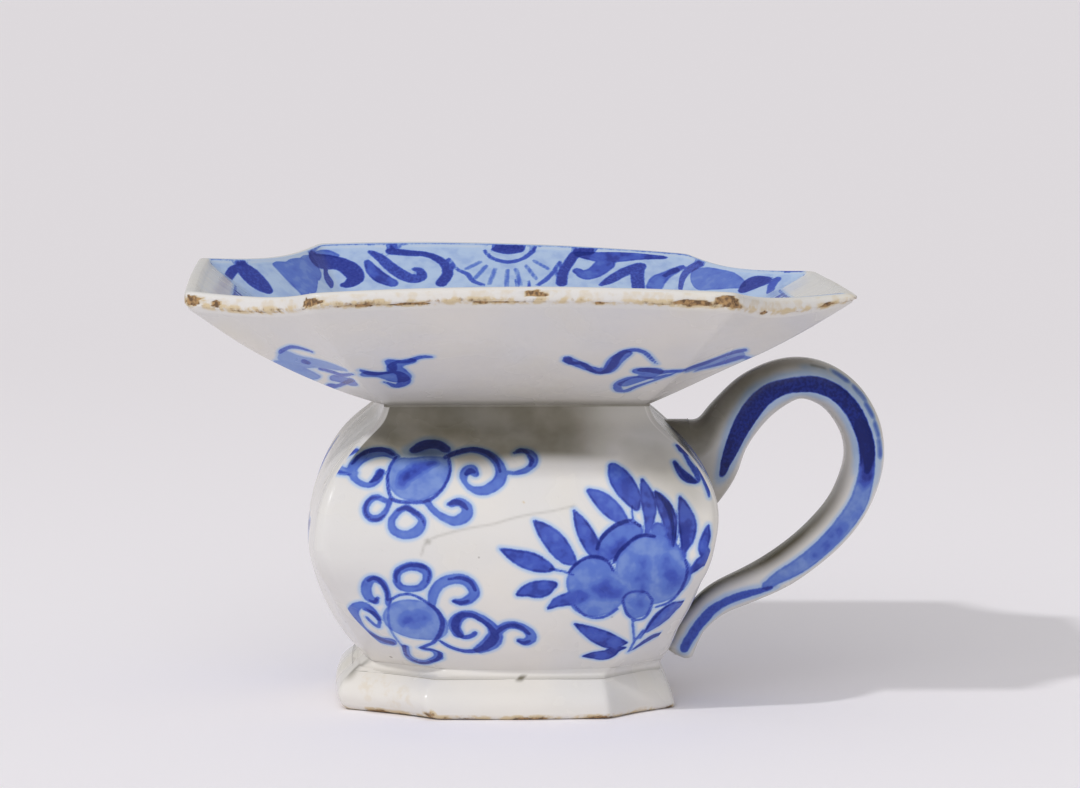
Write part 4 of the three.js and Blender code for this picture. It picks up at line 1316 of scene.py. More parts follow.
@dataclass(frozen=True)
class Foot:
    """The spreading octagonal foot ring, leaning a little to the left.

    Args:
        size: the pot's measures.
        plan: the grid's columns.
        softness: passes that round the arrises.
        rows, inner_rows: rows of the outside and of the inside.
        edge: how far the worn lower edge stands in.
        free_share: the share of its height that stands free under the slip.
    """

    size: ClaySizes = SIZES
    plan: Plan = Plan(side=96, corner=40)
    softness: int = 4
    rows: int = 46
    inner_rows: int = 14
    edge: float = 0.9
    free_share: float = 0.94

    def surface(self) -> Surface:
        """The ring's grid: up the outside from a worn lower edge, and down the inside.

        Returns:
            The surface.
        """
        z = self.size
        t_out = np.r_[0.0, 0.02, 0.07, np.linspace(0.12, self.free_share, self.rows - 3)]
        inset = np.r_[self.edge, self.edge * 0.45, self.edge * 0.12, np.zeros(self.rows - 3)]
        outer = self.ring(t_out, inset)
        t_in = np.linspace(self.free_share, 0.0, self.inner_rows)
        inner = self.ring(t_in, mix(z.foot_wall, z.wall, t_in))
        grid = soften(np.concatenate([outer, inner]), self.softness, axis=1)
        skin = slice(0, self.rows)
        grid[skin] -= normals_of(grid, True)[skin] * (0.15 + waver(grid[skin], 0.14, 30, 23))[..., None]
        grid[:, :, 2] = np.maximum(grid[:, :, 2], 0.0)
        return Surface(grid, True, 1, 4, np.r_[np.ones(self.rows), np.full(self.inner_rows, 0.8)])

    def ring(self, t: Array, inset: Array) -> Array:
        """Levels of the foot, swelling and leaning with the sine of the way up.

        Args:
            t: each level's share of the height.
            inset: how far each is moved in from the outline.

        Returns:
            Rows by columns by 3, in millimetres.
        """
        z = self.size
        swell = z.foot_swell * np.sin(np.pi * t)
        half = mix(z.foot_half, z.foot_top_half, t) + swell - inset
        cut = mix(z.foot_cut, z.foot_top_cut, t) * half / (half + inset)
        x, y, _ = self.plan.outline(half, cut, np.full(len(t), z.foot_bow), np.full(len(t), z.foot_scoop))
        shift = z.foot_offset - z.foot_lean * np.sin(np.pi * t)
        height = np.broadcast_to((t * z.foot_height)[:, None], x.shape)
        grid = np.stack([x, y, height], axis=2)
        pull_arris(grid, half[:, None], 1.0)
        grid[..., 0] += shift[:, None]
        return grid


@dataclass(frozen=True)
class SlipFillet:
    """A bead of slip round a joint of the body: a small round section carried round the plan.

    Args:
        half, height, cut: half-width, height and corner cut at the bead's middle.
        radius: the bead's radius.
        plan: the grid's columns.
        rows: rows round its section.
        bow: how far each side bows.
    """

    half: float
    height: float
    cut: float
    radius: float
    plan: Plan = Plan(side=60, corner=10)
    rows: int = 12
    bow: float = 0.3

    def surface(self) -> Surface:
        """The bead's grid: the outline at each angle round the circle of its section.

        Returns:
            The surface.
        """
        turn = -np.linspace(0, 2 * np.pi, self.rows, endpoint=False)[::-1] + np.pi
        half, level = self.half + self.radius * np.cos(turn), np.ones(self.rows)
        x, y, _ = self.plan.outline(half, self.cut * level, self.bow * level, 0.0 * level)
        height = np.broadcast_to((self.height + self.radius * np.sin(turn))[:, None], x.shape)
        return Surface(soften(np.stack([x, y, height], axis=2), 3, axis=1), True, 1, 4)


@dataclass(frozen=True)
class FootCove:
    """The hollow cove of slip between the bowl and the foot.

    Args:
        plan: the grid's columns.
        top, low: the heights where it runs into the bowl and into the foot.
        proud: how far it stands off the bowl's shape and off the foot's, as the glaze on them does.
        depth: how thick it is behind.
        steps: rows of its curve.
    """

    plan: Plan = Plan(side=110, corner=40)
    top: float = 10.6
    low: float = 8.5
    proud: tuple[float, float] = (0.13, -0.1)
    depth: float = 1.6
    steps: int = 14

    def surface(self) -> Surface:
        """The cove's grid: a quadratic curve from the foot to the bowl, closed by two rows behind it.

        Returns:
            The surface.
        """
        z = SIZES
        body, foot = BodyShape(plan=self.plan), Foot(plan=self.plan)
        high, rest = np.array([self.top]), np.array([z.foot_height])
        seat, bowl = body.carry(body.half(rest), rest), body.carry(body.half(high) + self.proud[0], high)
        body.pull(seat, rest)
        body.pull(bowl, high)
        shoulder = foot.ring(np.array([self.low / z.foot_height]), np.array([-self.proud[1]]))
        corner = mix(seat, foot.ring(np.array([foot.free_share]), np.zeros(1)), 0.5)
        s = np.linspace(0, 1, self.steps)[:, None, None]
        curve = (1 - s) ** 2 * shoulder + 2 * s * (1 - s) * corner + s**2 * bowl
        behind = np.stack([bowl[0], shoulder[0]])
        behind[..., :2] *= 1 - self.depth / z.foot_top_half
        return Surface(soften(np.concatenate([curve, behind]), 5, axis=1), True, 1, 4)


def between(t: Array, start: float, end: float, a: Array, b: Array) -> Array:
    """The point on the straight run that is a at the start and b at the end."""
    return (end - t) / (end - start) * a + (t - start) / (end - start) * b


@dataclass(frozen=True)
class Handle:
    """The loop handle: a rounded strap carried from a pinched root over an arch to a curled tail.

    Args:
        size: the pot's measures.
        body: the body it is luted to.
        rows, columns: the grid along the path and round the section.
        reach: how far the arch stands off the belly's half-width.
        room: the gap under the basin.
        top_share: the arch's highest place, as a share of the reach.
        root: height and thickness of the root, and how much wider than the strap it is.
        seat, tail_end: heights where the tail starts to lie on the body, and of its tip.
        strap, tail: thickness and width of each.
        roundness: power of the section's superellipse.
        tail_out: how far the tail's tip stands farther out.
        easing: passes that even the strap, over the shares of its length in eased_shares.
        end_rows: rows that round off the tip.
    """

    size: ClaySizes = SIZES
    body: BodyShape = BodyShape()
    rows: int = 330
    columns: int = 96
    reach: float = 33.4
    room: float = 9.0
    top_share: float = 0.56
    root: tuple[float, float, float] = (50.25, 23.5, 4.0)
    seat: float = 22.3
    tail_end: float = 8.6
    strap: tuple[float, float] = (9.3, 13.0)
    tail: tuple[float, float] = (6.6, 9.0)
    roundness: float = 2.6
    tail_out: float = 1.3
    easing: int = 60
    eased_shares: Span = (0.05, 0.12, 0.86, 0.95)
    end_rows: int = 5

    def stations(self) -> Array:
        """The places that the path is drawn through, from the root to the tip of the tail.

        Returns:
            Rows of x, z, thickness, width and tilt in degrees.
        """
        z, basin = self.size, Basin()
        out = np.array(z.belly_half + self.reach * self.top_share)
        flare = (out - z.neck_half) / (z.rim_half - z.neck_half)
        under = basin.underside(out) - basin.slump(out, np.zeros(()), out, flare, np.zeros(()))
        top = float(under) - self.room - self.strap[0] / 2
        root_height, root_thick, spread = self.root

        def rising(out: float, up: float, thinned: float, tilt: float) -> tuple[float, ...]:
            """A station between the root and the top of the arch."""
            return (z.belly_half + self.reach * out, mix(root_height, top, up),
                    mix(root_thick, self.strap[0], thinned), self.strap[1] + spread * (1 - thinned), tilt)

        def falling(out: float, up: float, thinned: float) -> tuple[float, ...]:
            """A station between the top of the arch and the lower seat."""
            return (z.belly_half + self.reach * out, mix(self.seat, top, up),
                    mix(self.strap[0], self.tail[0], thinned), mix(self.strap[1], self.tail[1], thinned), 0.0)

        def trailing(out: float, down: float) -> tuple[float, ...]:
            """A station of the tail, lying on the lower body."""
            height = mix(self.seat, self.tail_end, down)
            return (float(self.body.half(np.array(max(height, z.foot_height)))) + out + self.tail_out * down,
                    height, *self.tail, 0.0)

        root = (float(self.body.half(np.array(62.0))) - z.wall / 2,) + rising(0, 0, 0, -3)[1:]
        tip = (z.foot_top_half + 2.2 + self.tail_out, self.tail_end, self.tail[0] + 1.0, self.tail[1], 0.0)
        rise = [rising(*v) for v in ((-.14, .03, .08, -11), (-.02, .17, .41, -31), (.09, .48, .66, -31),
                                     (.26, .79, .83, -13), (.43, .95, .92, 0))]
        fall = [falling(*v) for v in ((.56, 1, -.14), (.75, .96, -.1), (.88, .88, -.05), (.98, .75, 0),
                                      (1, .64, 0), (.97, .54, 0), (.87, .39, 0), (.67, .24, .06),
                                      (.39, .1, .3), (.17, .03, .5), (.01, -.02, .75))]
        return np.array([root, *rise, *fall, trailing(1.6, .42), trailing(1.9, .64), tip])

    def line(self) -> Array:
        """The stations joined by a centripetal Catmull-Rom curve and resampled evenly along it.

        Each stretch is a pyramid of straight runs: three, then two between those, then one between them.

        Returns:
            Rows of x, z, thickness, width and tilt in degrees.
        """
        knots = self.stations()
        first, last = 2 * knots[:1] - knots[1:2], 2 * knots[-1:] - knots[-2:-1]
        full = np.concatenate([first, knots, last])
        pieces = []
        for k in range(len(knots) - 1):
            p = full[k:k + 4]
            gap = np.maximum(np.linalg.norm(np.diff(p[:, :2], axis=0), axis=1) ** 0.5, 1e-4)
            at = np.r_[0.0, np.cumsum(gap)]
            t = np.linspace(at[1], at[2], 40, endpoint=k == len(knots) - 2)[:, None]
            runs = [between(t, at[i], at[i + 1], p[i], p[i + 1]) for i in range(3)]
            pair = [between(t, at[i], at[i + 2], runs[i], runs[i + 1]) for i in range(2)]
            pieces.append(between(t, at[1], at[2], *pair))
        curve = np.concatenate(pieces)
        run = np.r_[0.0, np.cumsum(np.linalg.norm(np.diff(curve[:, :2], axis=0), axis=1))]
        wanted = np.linspace(0.0, run[-1], self.rows)
        return np.stack([np.interp(wanted, run, column) for column in curve.T], axis=1)

    def measures(self, grid: Array) -> tuple[Array, Array]:
        """How far along the path each point is, and how far round from the middle of its side face.

        Args:
            grid: the handle's points.

        Returns:
            The two distances, the second positive towards the outer face and the same on both sides.
        """
        steps = np.linalg.norm(np.roll(grid, -1, axis=1) - grid, axis=2)
        run = np.cumsum(steps, axis=1) - steps
        quarter = self.columns // 4
        near, far = run[:, quarter:quarter + 1] - run, run - run[:, 3 * quarter:3 * quarter + 1]
        around = np.where(np.arange(self.columns) <= 2 * quarter, near, far)
        middle = grid.mean(axis=1)
        path = np.r_[0.0, np.cumsum(np.linalg.norm(np.diff(middle, axis=0), axis=1))]
        return np.broadcast_to(path[:, None], around.shape), around

    def surface(self) -> Surface:
        """The handle's grid: superellipse sections square to the tilted path, under the glaze.

        Returns:
            The surface.
        """
        line = self.line()
        tangent = np.gradient(line[:, :2], axis=0)
        angle = np.arctan2(tangent[:, 1], tangent[:, 0]) + np.radians(line[:, 4])
        turn = np.linspace(0, 2 * np.pi, self.columns, endpoint=False)
        left = np.clip(np.arange(self.rows)[::-1] / self.end_rows, 0, 1)
        tip = np.sqrt(1 - (1 - left) ** 2 * 0.99)[:, None]
        thick, wide = (np.sign(part) * np.abs(part) ** (2 / self.roundness)
                       for part in (np.cos(turn), np.sin(turn)))
        lift = 0.5 * line[:, 2:3] * thick * tip
        x = line[:, 0:1] - np.sin(angle)[:, None] * lift
        z = line[:, 1:2] + np.cos(angle)[:, None] * lift
        y = -0.5 * line[:, 3:4] * wide * tip
        grid = np.stack([x, y, z], axis=2)
        eased = grid.copy()
        for _ in range(self.easing):
            eased[1:-1] = 0.25 * eased[:-2] + 0.5 * eased[1:-1] + 0.25 * eased[2:]
        grid = mix(grid, eased, window(self.eased_shares, np.linspace(0, 1, self.rows))[:, None, None])
        glaze = self.size.glaze
        grid -= normals_of(grid, False) * (glaze + waver(grid, glaze, 26, 31))[..., None]
        return Surface(grid, False, 1, 1)


# Finishes


Colour = tuple[float, float, float]
Socket = bpy.types.NodeSocket


def linear(colour: Colour) -> tuple[float, float, float, float]:
    """A shade written as 0-255 screen values, as the linear colour a shader reads."""
    share = [c / 255 for c in colour]
    return (*(c / 12.92 if c <= 0.04045 else ((c + 0.055) / 1.055) ** 2.4 for c in share), 1.0)


class Shader:
    """A material's node tree, with short ways to add nodes.

    Args:
        name: the material's name.
    """

    def __init__(self, name: str) -> None:
        """Starts with an empty tree."""
        self.material = bpy.data.materials.new(name)
        self.material.use_nodes = True
        self.tree = self.material.node_tree
        self.tree.nodes.clear()
        self.place = self.add("ShaderNodeTexCoord").outputs["Object"]

    def add(self, kind: str, **settings: object) -> bpy.types.Node:
        """Adds a node.

        Args:
            kind: its type.
            settings: properties of it and their values.

        Returns:
            The node.
        """
        node = self.tree.nodes.new(kind)
        for key, value in settings.items():
            setattr(node, key, value)
        return node

    def plug(self, socket: Socket, value: object) -> None:
        """Links an output to a socket, or sets the socket to a constant."""
        if isinstance(value, Socket):
            self.tree.links.new(value, socket)
        else:
            socket.default_value = value

    def fed(self, node: bpy.types.Node, sockets: tuple[int | str, ...],
            values: tuple[object, ...]) -> bpy.types.Node:
        """Plugs values into some of a node's inputs.

        Args:
            node: the node.
            sockets: places or names of the inputs.
            values: one output or constant for each.

        Returns:
            The same node.
        """
        for socket, value in zip(sockets, values):
            self.plug(node.inputs[socket], value)
        return node

    def math(self, operation: str, a: object, b: object = 0.0, c: object = 0.0) -> Socket:
        """A maths node's result."""
        return self.fed(self.add("ShaderNodeMath", operation=operation), (0, 1, 2), (a, b, c)).outputs[0]

    def ramp(self, value: object, low: float, high: float, start: float = 0.0, end: float = 1.0) -> Socket:
        """A smooth run from start at low to end at high, held outside them."""
        node = self.add("ShaderNodeMapRange", interpolation_type="SMOOTHSTEP")
        return self.fed(node, (0, 1, 2, 3, 4), (value, low, high, start, end)).outputs[0]

    def noise(self, scale: float, detail: float = 2.0, rough: float = 0.5) -> Socket:
        """Noise from 0 to 1 over the object's own coordinates, scale in waves a metre."""
        node = self.add("ShaderNodeTexNoise", noise_dimensions="3D")
        return self.fed(node, ("Vector", "Scale", "Detail", "Roughness"),
                        (self.place, scale, detail, rough)).outputs["Fac"]

    def cells(self, scale: float) -> bpy.types.Node:
        """Voronoi cells over the object's own coordinates, scale in cells a metre."""
        return self.fed(self.add("ShaderNodeTexVoronoi"), ("Vector", "Scale"), (self.place, scale))

    def blend(self, amount: object, first: object, second: object, mode: str = "MIX") -> Socket:
        """Two colours mixed, or put together in another mode."""
        node = self.add("ShaderNodeMix", data_type="RGBA", blend_type=mode)
        return self.fed(node, (0, 6, 7), (amount, first, second)).outputs[2]

    def split(self, vector: Socket) -> tuple[Socket, ...]:
        """The three values of a vector or a colour."""
        return tuple(self.fed(self.add("ShaderNodeSeparateXYZ"), (0,), (vector,)).outputs)

    def marks(self, name: str) -> tuple[Socket, ...]:
        """The three values of a named vector attribute."""
        return self.split(self.add("ShaderNodeAttribute", attribute_name=name).outputs["Vector"])

    def finish(self, colour: object, rough: object, bumps: tuple[tuple[object, float], ...],
               **others: object) -> bpy.types.Material:
        """Ends the tree in one surface shader.

        Args:
            colour, rough: its base colour and roughness.
            bumps: heights from 0 to 1 and how many metres each stands for.
            others: more of the shader's inputs, underscores for spaces.

        Returns:
            The material.
        """
        shader = self.fed(self.add("ShaderNodeBsdfPrincipled"), ("Base Color", "Roughness"), (colour, rough))
        for key, value in others.items():
            self.plug(shader.inputs[key.replace("_", " ")], value)
        below = None
        for height, depth in bumps:
            bump = self.fed(self.add("ShaderNodeBump"), ("Distance", "Height"), (depth, height))
            if below is not None:
                self.plug(bump.inputs["Normal"], below)
            below = bump.outputs[0]
        if below is not None:
            self.plug(shader.inputs["Normal"], below)
        self.fed(self.add("ShaderNodeOutputMaterial"), ("Surface",), (shader.outputs[0],))
        return self.material


@dataclass(frozen=True)
class CobaltGlaze:
    """Milky tin glaze over buff clay, with brushed cobalt in it.

    Args:
        name: the material's name.
        white, cool, cream: the glaze's own shades.
        dark_speck: shade of the iron specks.
        clay, clay_light: the bare clay where the glaze is worn.
        stain: the glaze over clay that shows through.
        soil_and_shade: the colour that dirt, and painted shade under the basin and in hollows, multiply the
            glaze by.
        tones: pigment from none to thick, each a place from 0 to 1 and a shade.
        ragged, frayed: how far the brush edges wander, in millimetres, slowly and finely.
    """

    name: str
    white: Colour = (219, 215, 209)
    cool: Colour = (214, 212, 210)
    cream: Colour = (216, 210, 192)
    dark_speck: Colour = (118, 106, 96)
    clay: Colour = (104, 82, 62)
    clay_light: Colour = (174, 140, 98)
    stain: Colour = (202, 180, 136)
    # Dirt, and painted shade under the basin and in hollows, multiply the glaze by this
    soil_and_shade: Colour = (108, 103, 81)
    tones: tuple[tuple[float, Colour], ...] = (
        (0.18, (172, 192, 220)), (0.36, (122, 148, 204)), (0.54, (86, 114, 194)), (0.7, (62, 84, 178)),
        (0.82, (44, 58, 146)), (0.93, (18, 38, 126)), (1.0, (7, 24, 100)))
    ragged: float = 0.34
    frayed: float = 0.16

    def build(self) -> bpy.types.Material:
        """Builds the material from the brush and tint attributes.

        The ground is painted by the pigment's thickness, darkened by dirt and painted shade, stained, and
        worn through to the clay.

        Returns:
            The material.
        """
        s = Shader(self.name)
        line_edge, line_load, wash_edge = s.marks("brush")
        wash_load, soft, wear = s.marks("tint")
        pigment = self._pigment(s, (line_edge, line_load), (wash_edge, wash_load), soft)
        painted = self._tone(s, pigment, self._ground(s))
        patchy = s.math("MULTIPLY_ADD", s.noise(700, 4, 0.65), 0.9, -0.45)
        bare = s.ramp(s.math("ADD", wear, patchy), 0.5, 0.8)
        earth = s.blend(s.ramp(s.noise(1100, 3), 0.35, 0.65), linear(self.clay), linear(self.clay_light))
        colour = s.blend(bare, self._aged(s, painted, wear), earth)
        rough = s.math("ADD", s.ramp(s.noise(60, 3), 0.3, 0.7, 0.17, 0.3), s.math("MULTIPLY", bare, 0.5))
        pits = s.ramp(s.cells(520).outputs["Distance"], 0.05, 0.16)
        dips = ((s.noise(230, 2), 0.00008), (s.noise(60, 1), 0.0003), (pits, 0.00002),
                (s.math("SUBTRACT", 1.0, bare), 0.0001))
        return s.finish(colour, rough, dips, Specular_IOR_Level=0.24)

    def _pigment(self, s: Shader, line: tuple[Socket, Socket], wash: tuple[Socket, Socket],
                 soft: Socket) -> Socket:
        """The pigment's thickness: one, less the product of what line, wash and haze each let through.

        Args:
            s: the tree.
            line, wash: the signed distance to the strokes' edge and their load.
            soft: the load of what has bled.

        Returns:
            The thickness, from 0 to 1.
        """
        wander = s.math("MULTIPLY_ADD", s.noise(850, 3), self.ragged, -0.5 * self.ragged)
        fine = s.math("MULTIPLY_ADD", s.noise(2600, 2), self.frayed, -0.5 * self.frayed)
        wander = s.math("ADD", wander, fine)
        inside = s.ramp(s.math("ADD", line[0], wander), 0.26, -0.2)
        washed = s.ramp(s.math("ADD", wash[0], wander), 0.3, -0.24)
        pooled = s.ramp(wash[0], -0.7, -0.05, 1.0, 1.22)
        flow = s.ramp(s.noise(330, 2, 0.5), 0.3, 0.72, 0.82, 1.14)
        streak = s.ramp(s.noise(1500, 2), 0.25, 0.75, 0.9, 1.08)
        dark = s.math("MULTIPLY", s.math("MULTIPLY", inside, line[1]), streak)
        pale = s.math("MULTIPLY", s.math("MULTIPLY", washed, wash[1]), s.math("MULTIPLY", pooled, flow))
        halo = s.ramp(s.math("MINIMUM", line[0], wash[0]), 1.4, 0.0, 0.0, 0.16)
        haze = s.math("MAXIMUM", s.math("MULTIPLY", soft, flow), halo)
        keep = s.math("MULTIPLY", s.math("SUBTRACT", 1.0, pale), s.math("SUBTRACT", 1.0, haze))
        return s.math("SUBTRACT", 1.0, s.math("MULTIPLY", keep, s.math("SUBTRACT", 1.0, dark)))

    def _ground(self, s: Shader) -> Socket:
        """The glaze itself: white clouded with cool and cream, and specked.

        Args:
            s: the tree.

        Returns:
            Its colour.
        """
        clouds = s.blend(s.ramp(s.noise(38, 2), 0.35, 0.65), linear(self.white), linear(self.cool))
        ground = s.blend(s.ramp(s.noise(60, 3), 0.5, 0.8, 0.0, 0.3), clouds, linear(self.cream))
        return s.blend(self._specks(s), ground, linear(self.dark_speck))

    def _specks(self, s: Shader) -> Socket:
        """Sparse iron specks of uneven size: the middles of a few random cells.

        Args:
            s: the tree.

        Returns:
            How much of a speck there is, from 0 to 1.
        """
        node = s.cells(210)
        few = s.ramp(s.split(node.outputs["Color"])[0], 0.86, 0.98, 0.0, 0.11)
        return s.math("MULTIPLY", s.ramp(s.math("SUBTRACT", node.outputs["Distance"], few), 0.0, -0.05), 0.6)

    def _tone(self, s: Shader, pigment: Socket, ground: Socket) -> Socket:
        """The ground's colour under no pigment, running through the tones as it thickens.

        Args:
            s: the tree.
            pigment: its thickness.
            ground: the bare glaze's colour.

        Returns:
            The painted colour.
        """
        last = 0.0
        for place, tone in self.tones:
            ground, last = s.blend(s.ramp(pigment, last, place), ground, linear(tone)), place
        return ground

    def _aged(self, s: Shader, painted: Socket, wear: Socket) -> Socket:
        """The painted glaze darkened by dirt and painted shade where wear is below zero, and stained where it
        is above.

        Args:
            s: the tree.
            painted: the glaze's colour.
            wear: the wear, or the dirt and painted shade below zero.

        Returns:
            The aged colour.
        """
        soiled_and_shaded = s.math("MULTIPLY", s.math("MAXIMUM", s.math("MULTIPLY", wear, -1.0), 0.0),
                        s.ramp(s.noise(110, 3), 0.3, 0.7, 0.9, 1.06))
        rust = s.ramp(s.math("MULTIPLY", wear, s.ramp(s.noise(450, 3), 0.35, 0.65, 0.4, 1.6)),
                      0.12, 0.7, 0.0, 0.8)
        return s.blend(rust, s.blend(soiled_and_shaded, painted, linear(self.soil_and_shade), "MULTIPLY"), linear(self.stain))


@dataclass(frozen=True)
class PaleFloor:
    """The studio's seamless floor, a pale cool grey, with painted light: a little lighter towards the camera.
    """

    near: Colour = (250, 247, 252)
    far: Colour = (238, 234, 238)

    def build(self) -> bpy.types.Material:
        """Builds the material.

        Returns:
            The material.
        """
        s = Shader("pale_floor")
        depth = s.ramp(s.split(s.place)[1], -0.3, 1.0)
        return s.finish(s.blend(depth, linear(self.near), linear(self.far)), 0.9, ())


# The spittoon


class Spittoon:
    """All the visible pieces, built on the solids they stand for."""

    def piece(self, name: str, surface: Surface, material: bpy.types.Material,
              nodes: tuple[str, ...]) -> bpy.types.Object:
        """Builds one piece, dresses it and puts it in place of its solids.

        Args:
            name: the piece's name.
            surface: its grid.
            material: its finish.
            nodes: the solids it replaces.

        Returns:
            The object.
        """
        made = surface.build(name)
        made.data.materials.append(material)
        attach(made, BODY)
        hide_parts(*nodes)
        log.info("%s: %d faces, for %s", name, len(made.data.polygons), ", ".join(nodes))
        return made

    def glazed(self, name: str, surface: Surface, painting: Painting, slot: str,
               nodes: tuple[str, ...]) -> bpy.types.Object:
        """Builds a painted piece with its own glaze."""
        surface.marks = painting.marks()
        return self.piece(name, surface, CobaltGlaze(slot).build(), nodes)

    def build(self) -> None:
        """Builds every piece."""
        self.build_basin()
        self.build_body()
        self.build_foot()
        self.build_handle()
        self.build_slip()

    def build_basin(self) -> None:
        """The basin, painted inside and out, worn along the lip."""
        form = Basin()
        surface = form.surface()
        painting = Painting(surface.points.shape[:2])
        self.paint_basin(form, surface.points, painting)
        self.wear_lip(form, surface.points, painting)
        self.glazed("basin_glazed", surface, painting, "basin_glaze", ("basin",))

    def paint_basin(self, form: Basin, grid: Array, painting: Painting) -> None:
        """Lays the sprays under the basin, and the border, flowers and throat line in the dish.

        Args:
            form: the basin.
            grid: its points.
            painting: what is painted on.
        """
        under, dish = form.under_rows, form.dish_rows
        rise, fall = rise_measure(grid[under], 0), rise_measure(grid[dish], 0)
        flanks = form.plan.near(Side.LEFT, -3) | form.plan.near(Side.HANDLE, -2)
        start = soften(np.where(flanks, 11.0, 2.1)[None], 4, axis=1)
        for side in Side:
            flank = side in (Side.HANDLE, Side.LEFT)
            within = form.plan.near(side, -16 if flank else form.plan.corner)
            along = ring_measure(grid[under], side, form.plan)
            painting.lay(UNDER_LEFT + UNDER_RIGHT, along, rise, under, within)
            along = ring_measure(grid[dish], side, form.plan)
            within = within & (fall > start)
            painting.lay(INSIDE_LEFT + INSIDE_MIDDLE + INSIDE_RIGHT, along, fall, dish, within)
            painting.lay(FLOWERS, 1.9 * along + 24.0, 1.9 * (32.0 - fall), dish, within)
        painting.ring(0.9, 0.2, 0.5, fall - start, dish)
        painting.ring(0.8, 72.5, 0.7, grid[dish][..., 2], dish)
        painting.film(Layer.SOFT, 0.23 * smooth_step(0.0, 0.8, fall - start), dish)
        # Painted shade in the recess on the underside next to the neck
        painting.film(Layer.GRIME, 0.5 * (1 - smooth_step(0.5, 5.0, rise)), under)

    def wear_lip(self, form: Basin, grid: Array, painting: Painting) -> None:
        """Chips the lip and stains it: a dark edge, a brown band and a cream one, each a bell or a ramp.

        The edge and the band are laid deep enough to paint the shade along the lip's lower part as well.

        Args:
            form: the basin.
            grid: its points.
            painting: what the wear is laid on.
        """
        rows, share, _ = form.chips(grid)
        level = rise_measure(grid[rows], form.LIP_MARGIN) - 0.2
        # The dark edge and the brown band are stains, and also painted shade along the lip's lower part
        edge = np.exp(-((level / 0.45) ** 2)) * (0.54 + waver(grid[rows], 0.28, 14, 9))
        stain = np.exp(-(((level - 0.6) / 1.0) ** 2)) * (0.54 + waver(grid[rows], 0.2, 24, 19))
        cream = 0.24 * window((0.2, 1.0, 2.6, 3.4), level)
        painting.film(Layer.WEAR, np.maximum.reduce([share, edge, stain, cream]), rows)

    def build_body(self) -> None:
        """The body's two halves, painted as one."""
        for name, form, nodes in (("shoulder_glazed", Shoulder(), ("upper_body",)),
                                  ("bowl_glazed", Bowl(), ("lower_body", "belly_slip_joint"))):
            surface = form.surface()
            painting = Painting(surface.points.shape[:2])
            skin = surface.points[form.skin]
            up = rise_measure(skin, 0 if isinstance(form, Shoulder) else len(skin) - 1)
            for side in Side:
                self.paint_side(form, side, ring_measure(skin, side, form.plan), up, painting)
            # Painted shade where the basin overhangs the shoulder
            painting.film(Layer.GRIME, self.painted_shade(form, skin, up), form.skin)
            self.glazed(name, surface, painting, "body_glaze", nodes)

    def paint_side(self, form: Shoulder | Bowl, side: Side, along: Array, up: Array,
                   painting: Painting) -> None:
        """Lays one side's motifs on half of the body.

        Args:
            form: that half.
            side: the side.
            along, up: its measures.
            painting: what is painted on.
        """
        bare = -8 if isinstance(form, Shoulder) else -26
        wrapped = {Side.BACK: 4, Side.HANDLE: bare}.get(side, 0)
        within = form.plan.near(side, form.plan.corner // 2 + wrapped)
        rosettes = UPPER_ROSETTE + LOWER_ROSETTE
        spray = rosettes + FLOWERS + ROOT_SPRIG
        motif = {Side.LEFT: FLOWERS + SIDE_MARK, Side.HANDLE: rosettes, Side.BACK: spray,
                 Side.FRONT: spray + FRONT_MARKS}[side]
        painting.lay(motif, along, up, form.skin, within, mirror=side in (Side.LEFT, Side.BACK),
                     shift=9.0 if side is Side.HANDLE else 0.0)

    def painted_shade(self, form: Shoulder | Bowl, skin: Array, up: Array) -> Array:
        """Painted shade under the basin, weaker at the left, at the front's right and at its arrises.

        Args:
            form: the half of the body.
            skin: its outside.
            up: distance up from the belly.

        Returns:
            The painted shade at each point, from 0 to 1.
        """
        near, corner = form.plan.near, form.plan.corner
        painted_shade = 0.84 * smooth_step(18.6, 23.0, up + waver(skin, 1.0, 40, 17))
        painted_shade[:, near(Side.LEFT, corner)] *= 0.2
        right = smooth_step(8.0, 24.0, ring_measure(skin, Side.FRONT, form.plan))
        painted_shade *= 1 - 0.6 * np.where(near(Side.FRONT, 0), right, 0.0)
        painted_shade[:, near(Side.FRONT, corner) & ~near(Side.FRONT, -1)] *= 0.3
        return painted_shade

    def build_foot(self) -> None:
        """The foot ring, worn along its lower edge."""
        form = Foot()
        surface = form.surface()
        painting = Painting(surface.points.shape[:2])
        height = surface.points[..., 2]
        ragged = waver(surface.points, 0.35, 16, 41)
        painting.film(Layer.WEAR, (1 - smooth_step(0.1, 1.9, height)) * (0.62 + ragged))
        painting.lay(FOOT_MARKS, ring_measure(surface.points, Side.FRONT, form.plan), height, slice(None))
        self.glazed("foot_glazed", surface, painting, "foot_glaze", ("foot_ring",))

    def build_handle(self) -> None:
        """The handle, a dark band down each side of its arch and its tail."""
        form = Handle()
        surface = form.surface()
        along, up = form.measures(surface.points)
        painting = Painting(surface.points.shape[:2])
        painting.lay(HANDLE_BAND + HANDLE_DASHES, along, up, slice(None))
        # Painted shade on the strap's top by the root under the basin and on the loop's inner face, and a
        # darkening over the root
        shade_under_basin = 0.84 * (1 - smooth_step(26.0, 80.0, along)) * smooth_step(-1.0, 4.5, up)
        inner = smooth_step(1.0, 5.0, -up) * mix(0.15, 0.95, smooth_step(64.0, 94.0, along))
        root = 0.6 * (1 - smooth_step(8.0, 26.0, along))
        painting.film(Layer.GRIME, np.maximum.reduce([shade_under_basin, inner, root]))
        self.glazed("handle_glazed", surface, painting, "handle_glaze",
                    ("handle_strap", "handle_root_slip", "handle_tail_slip"))

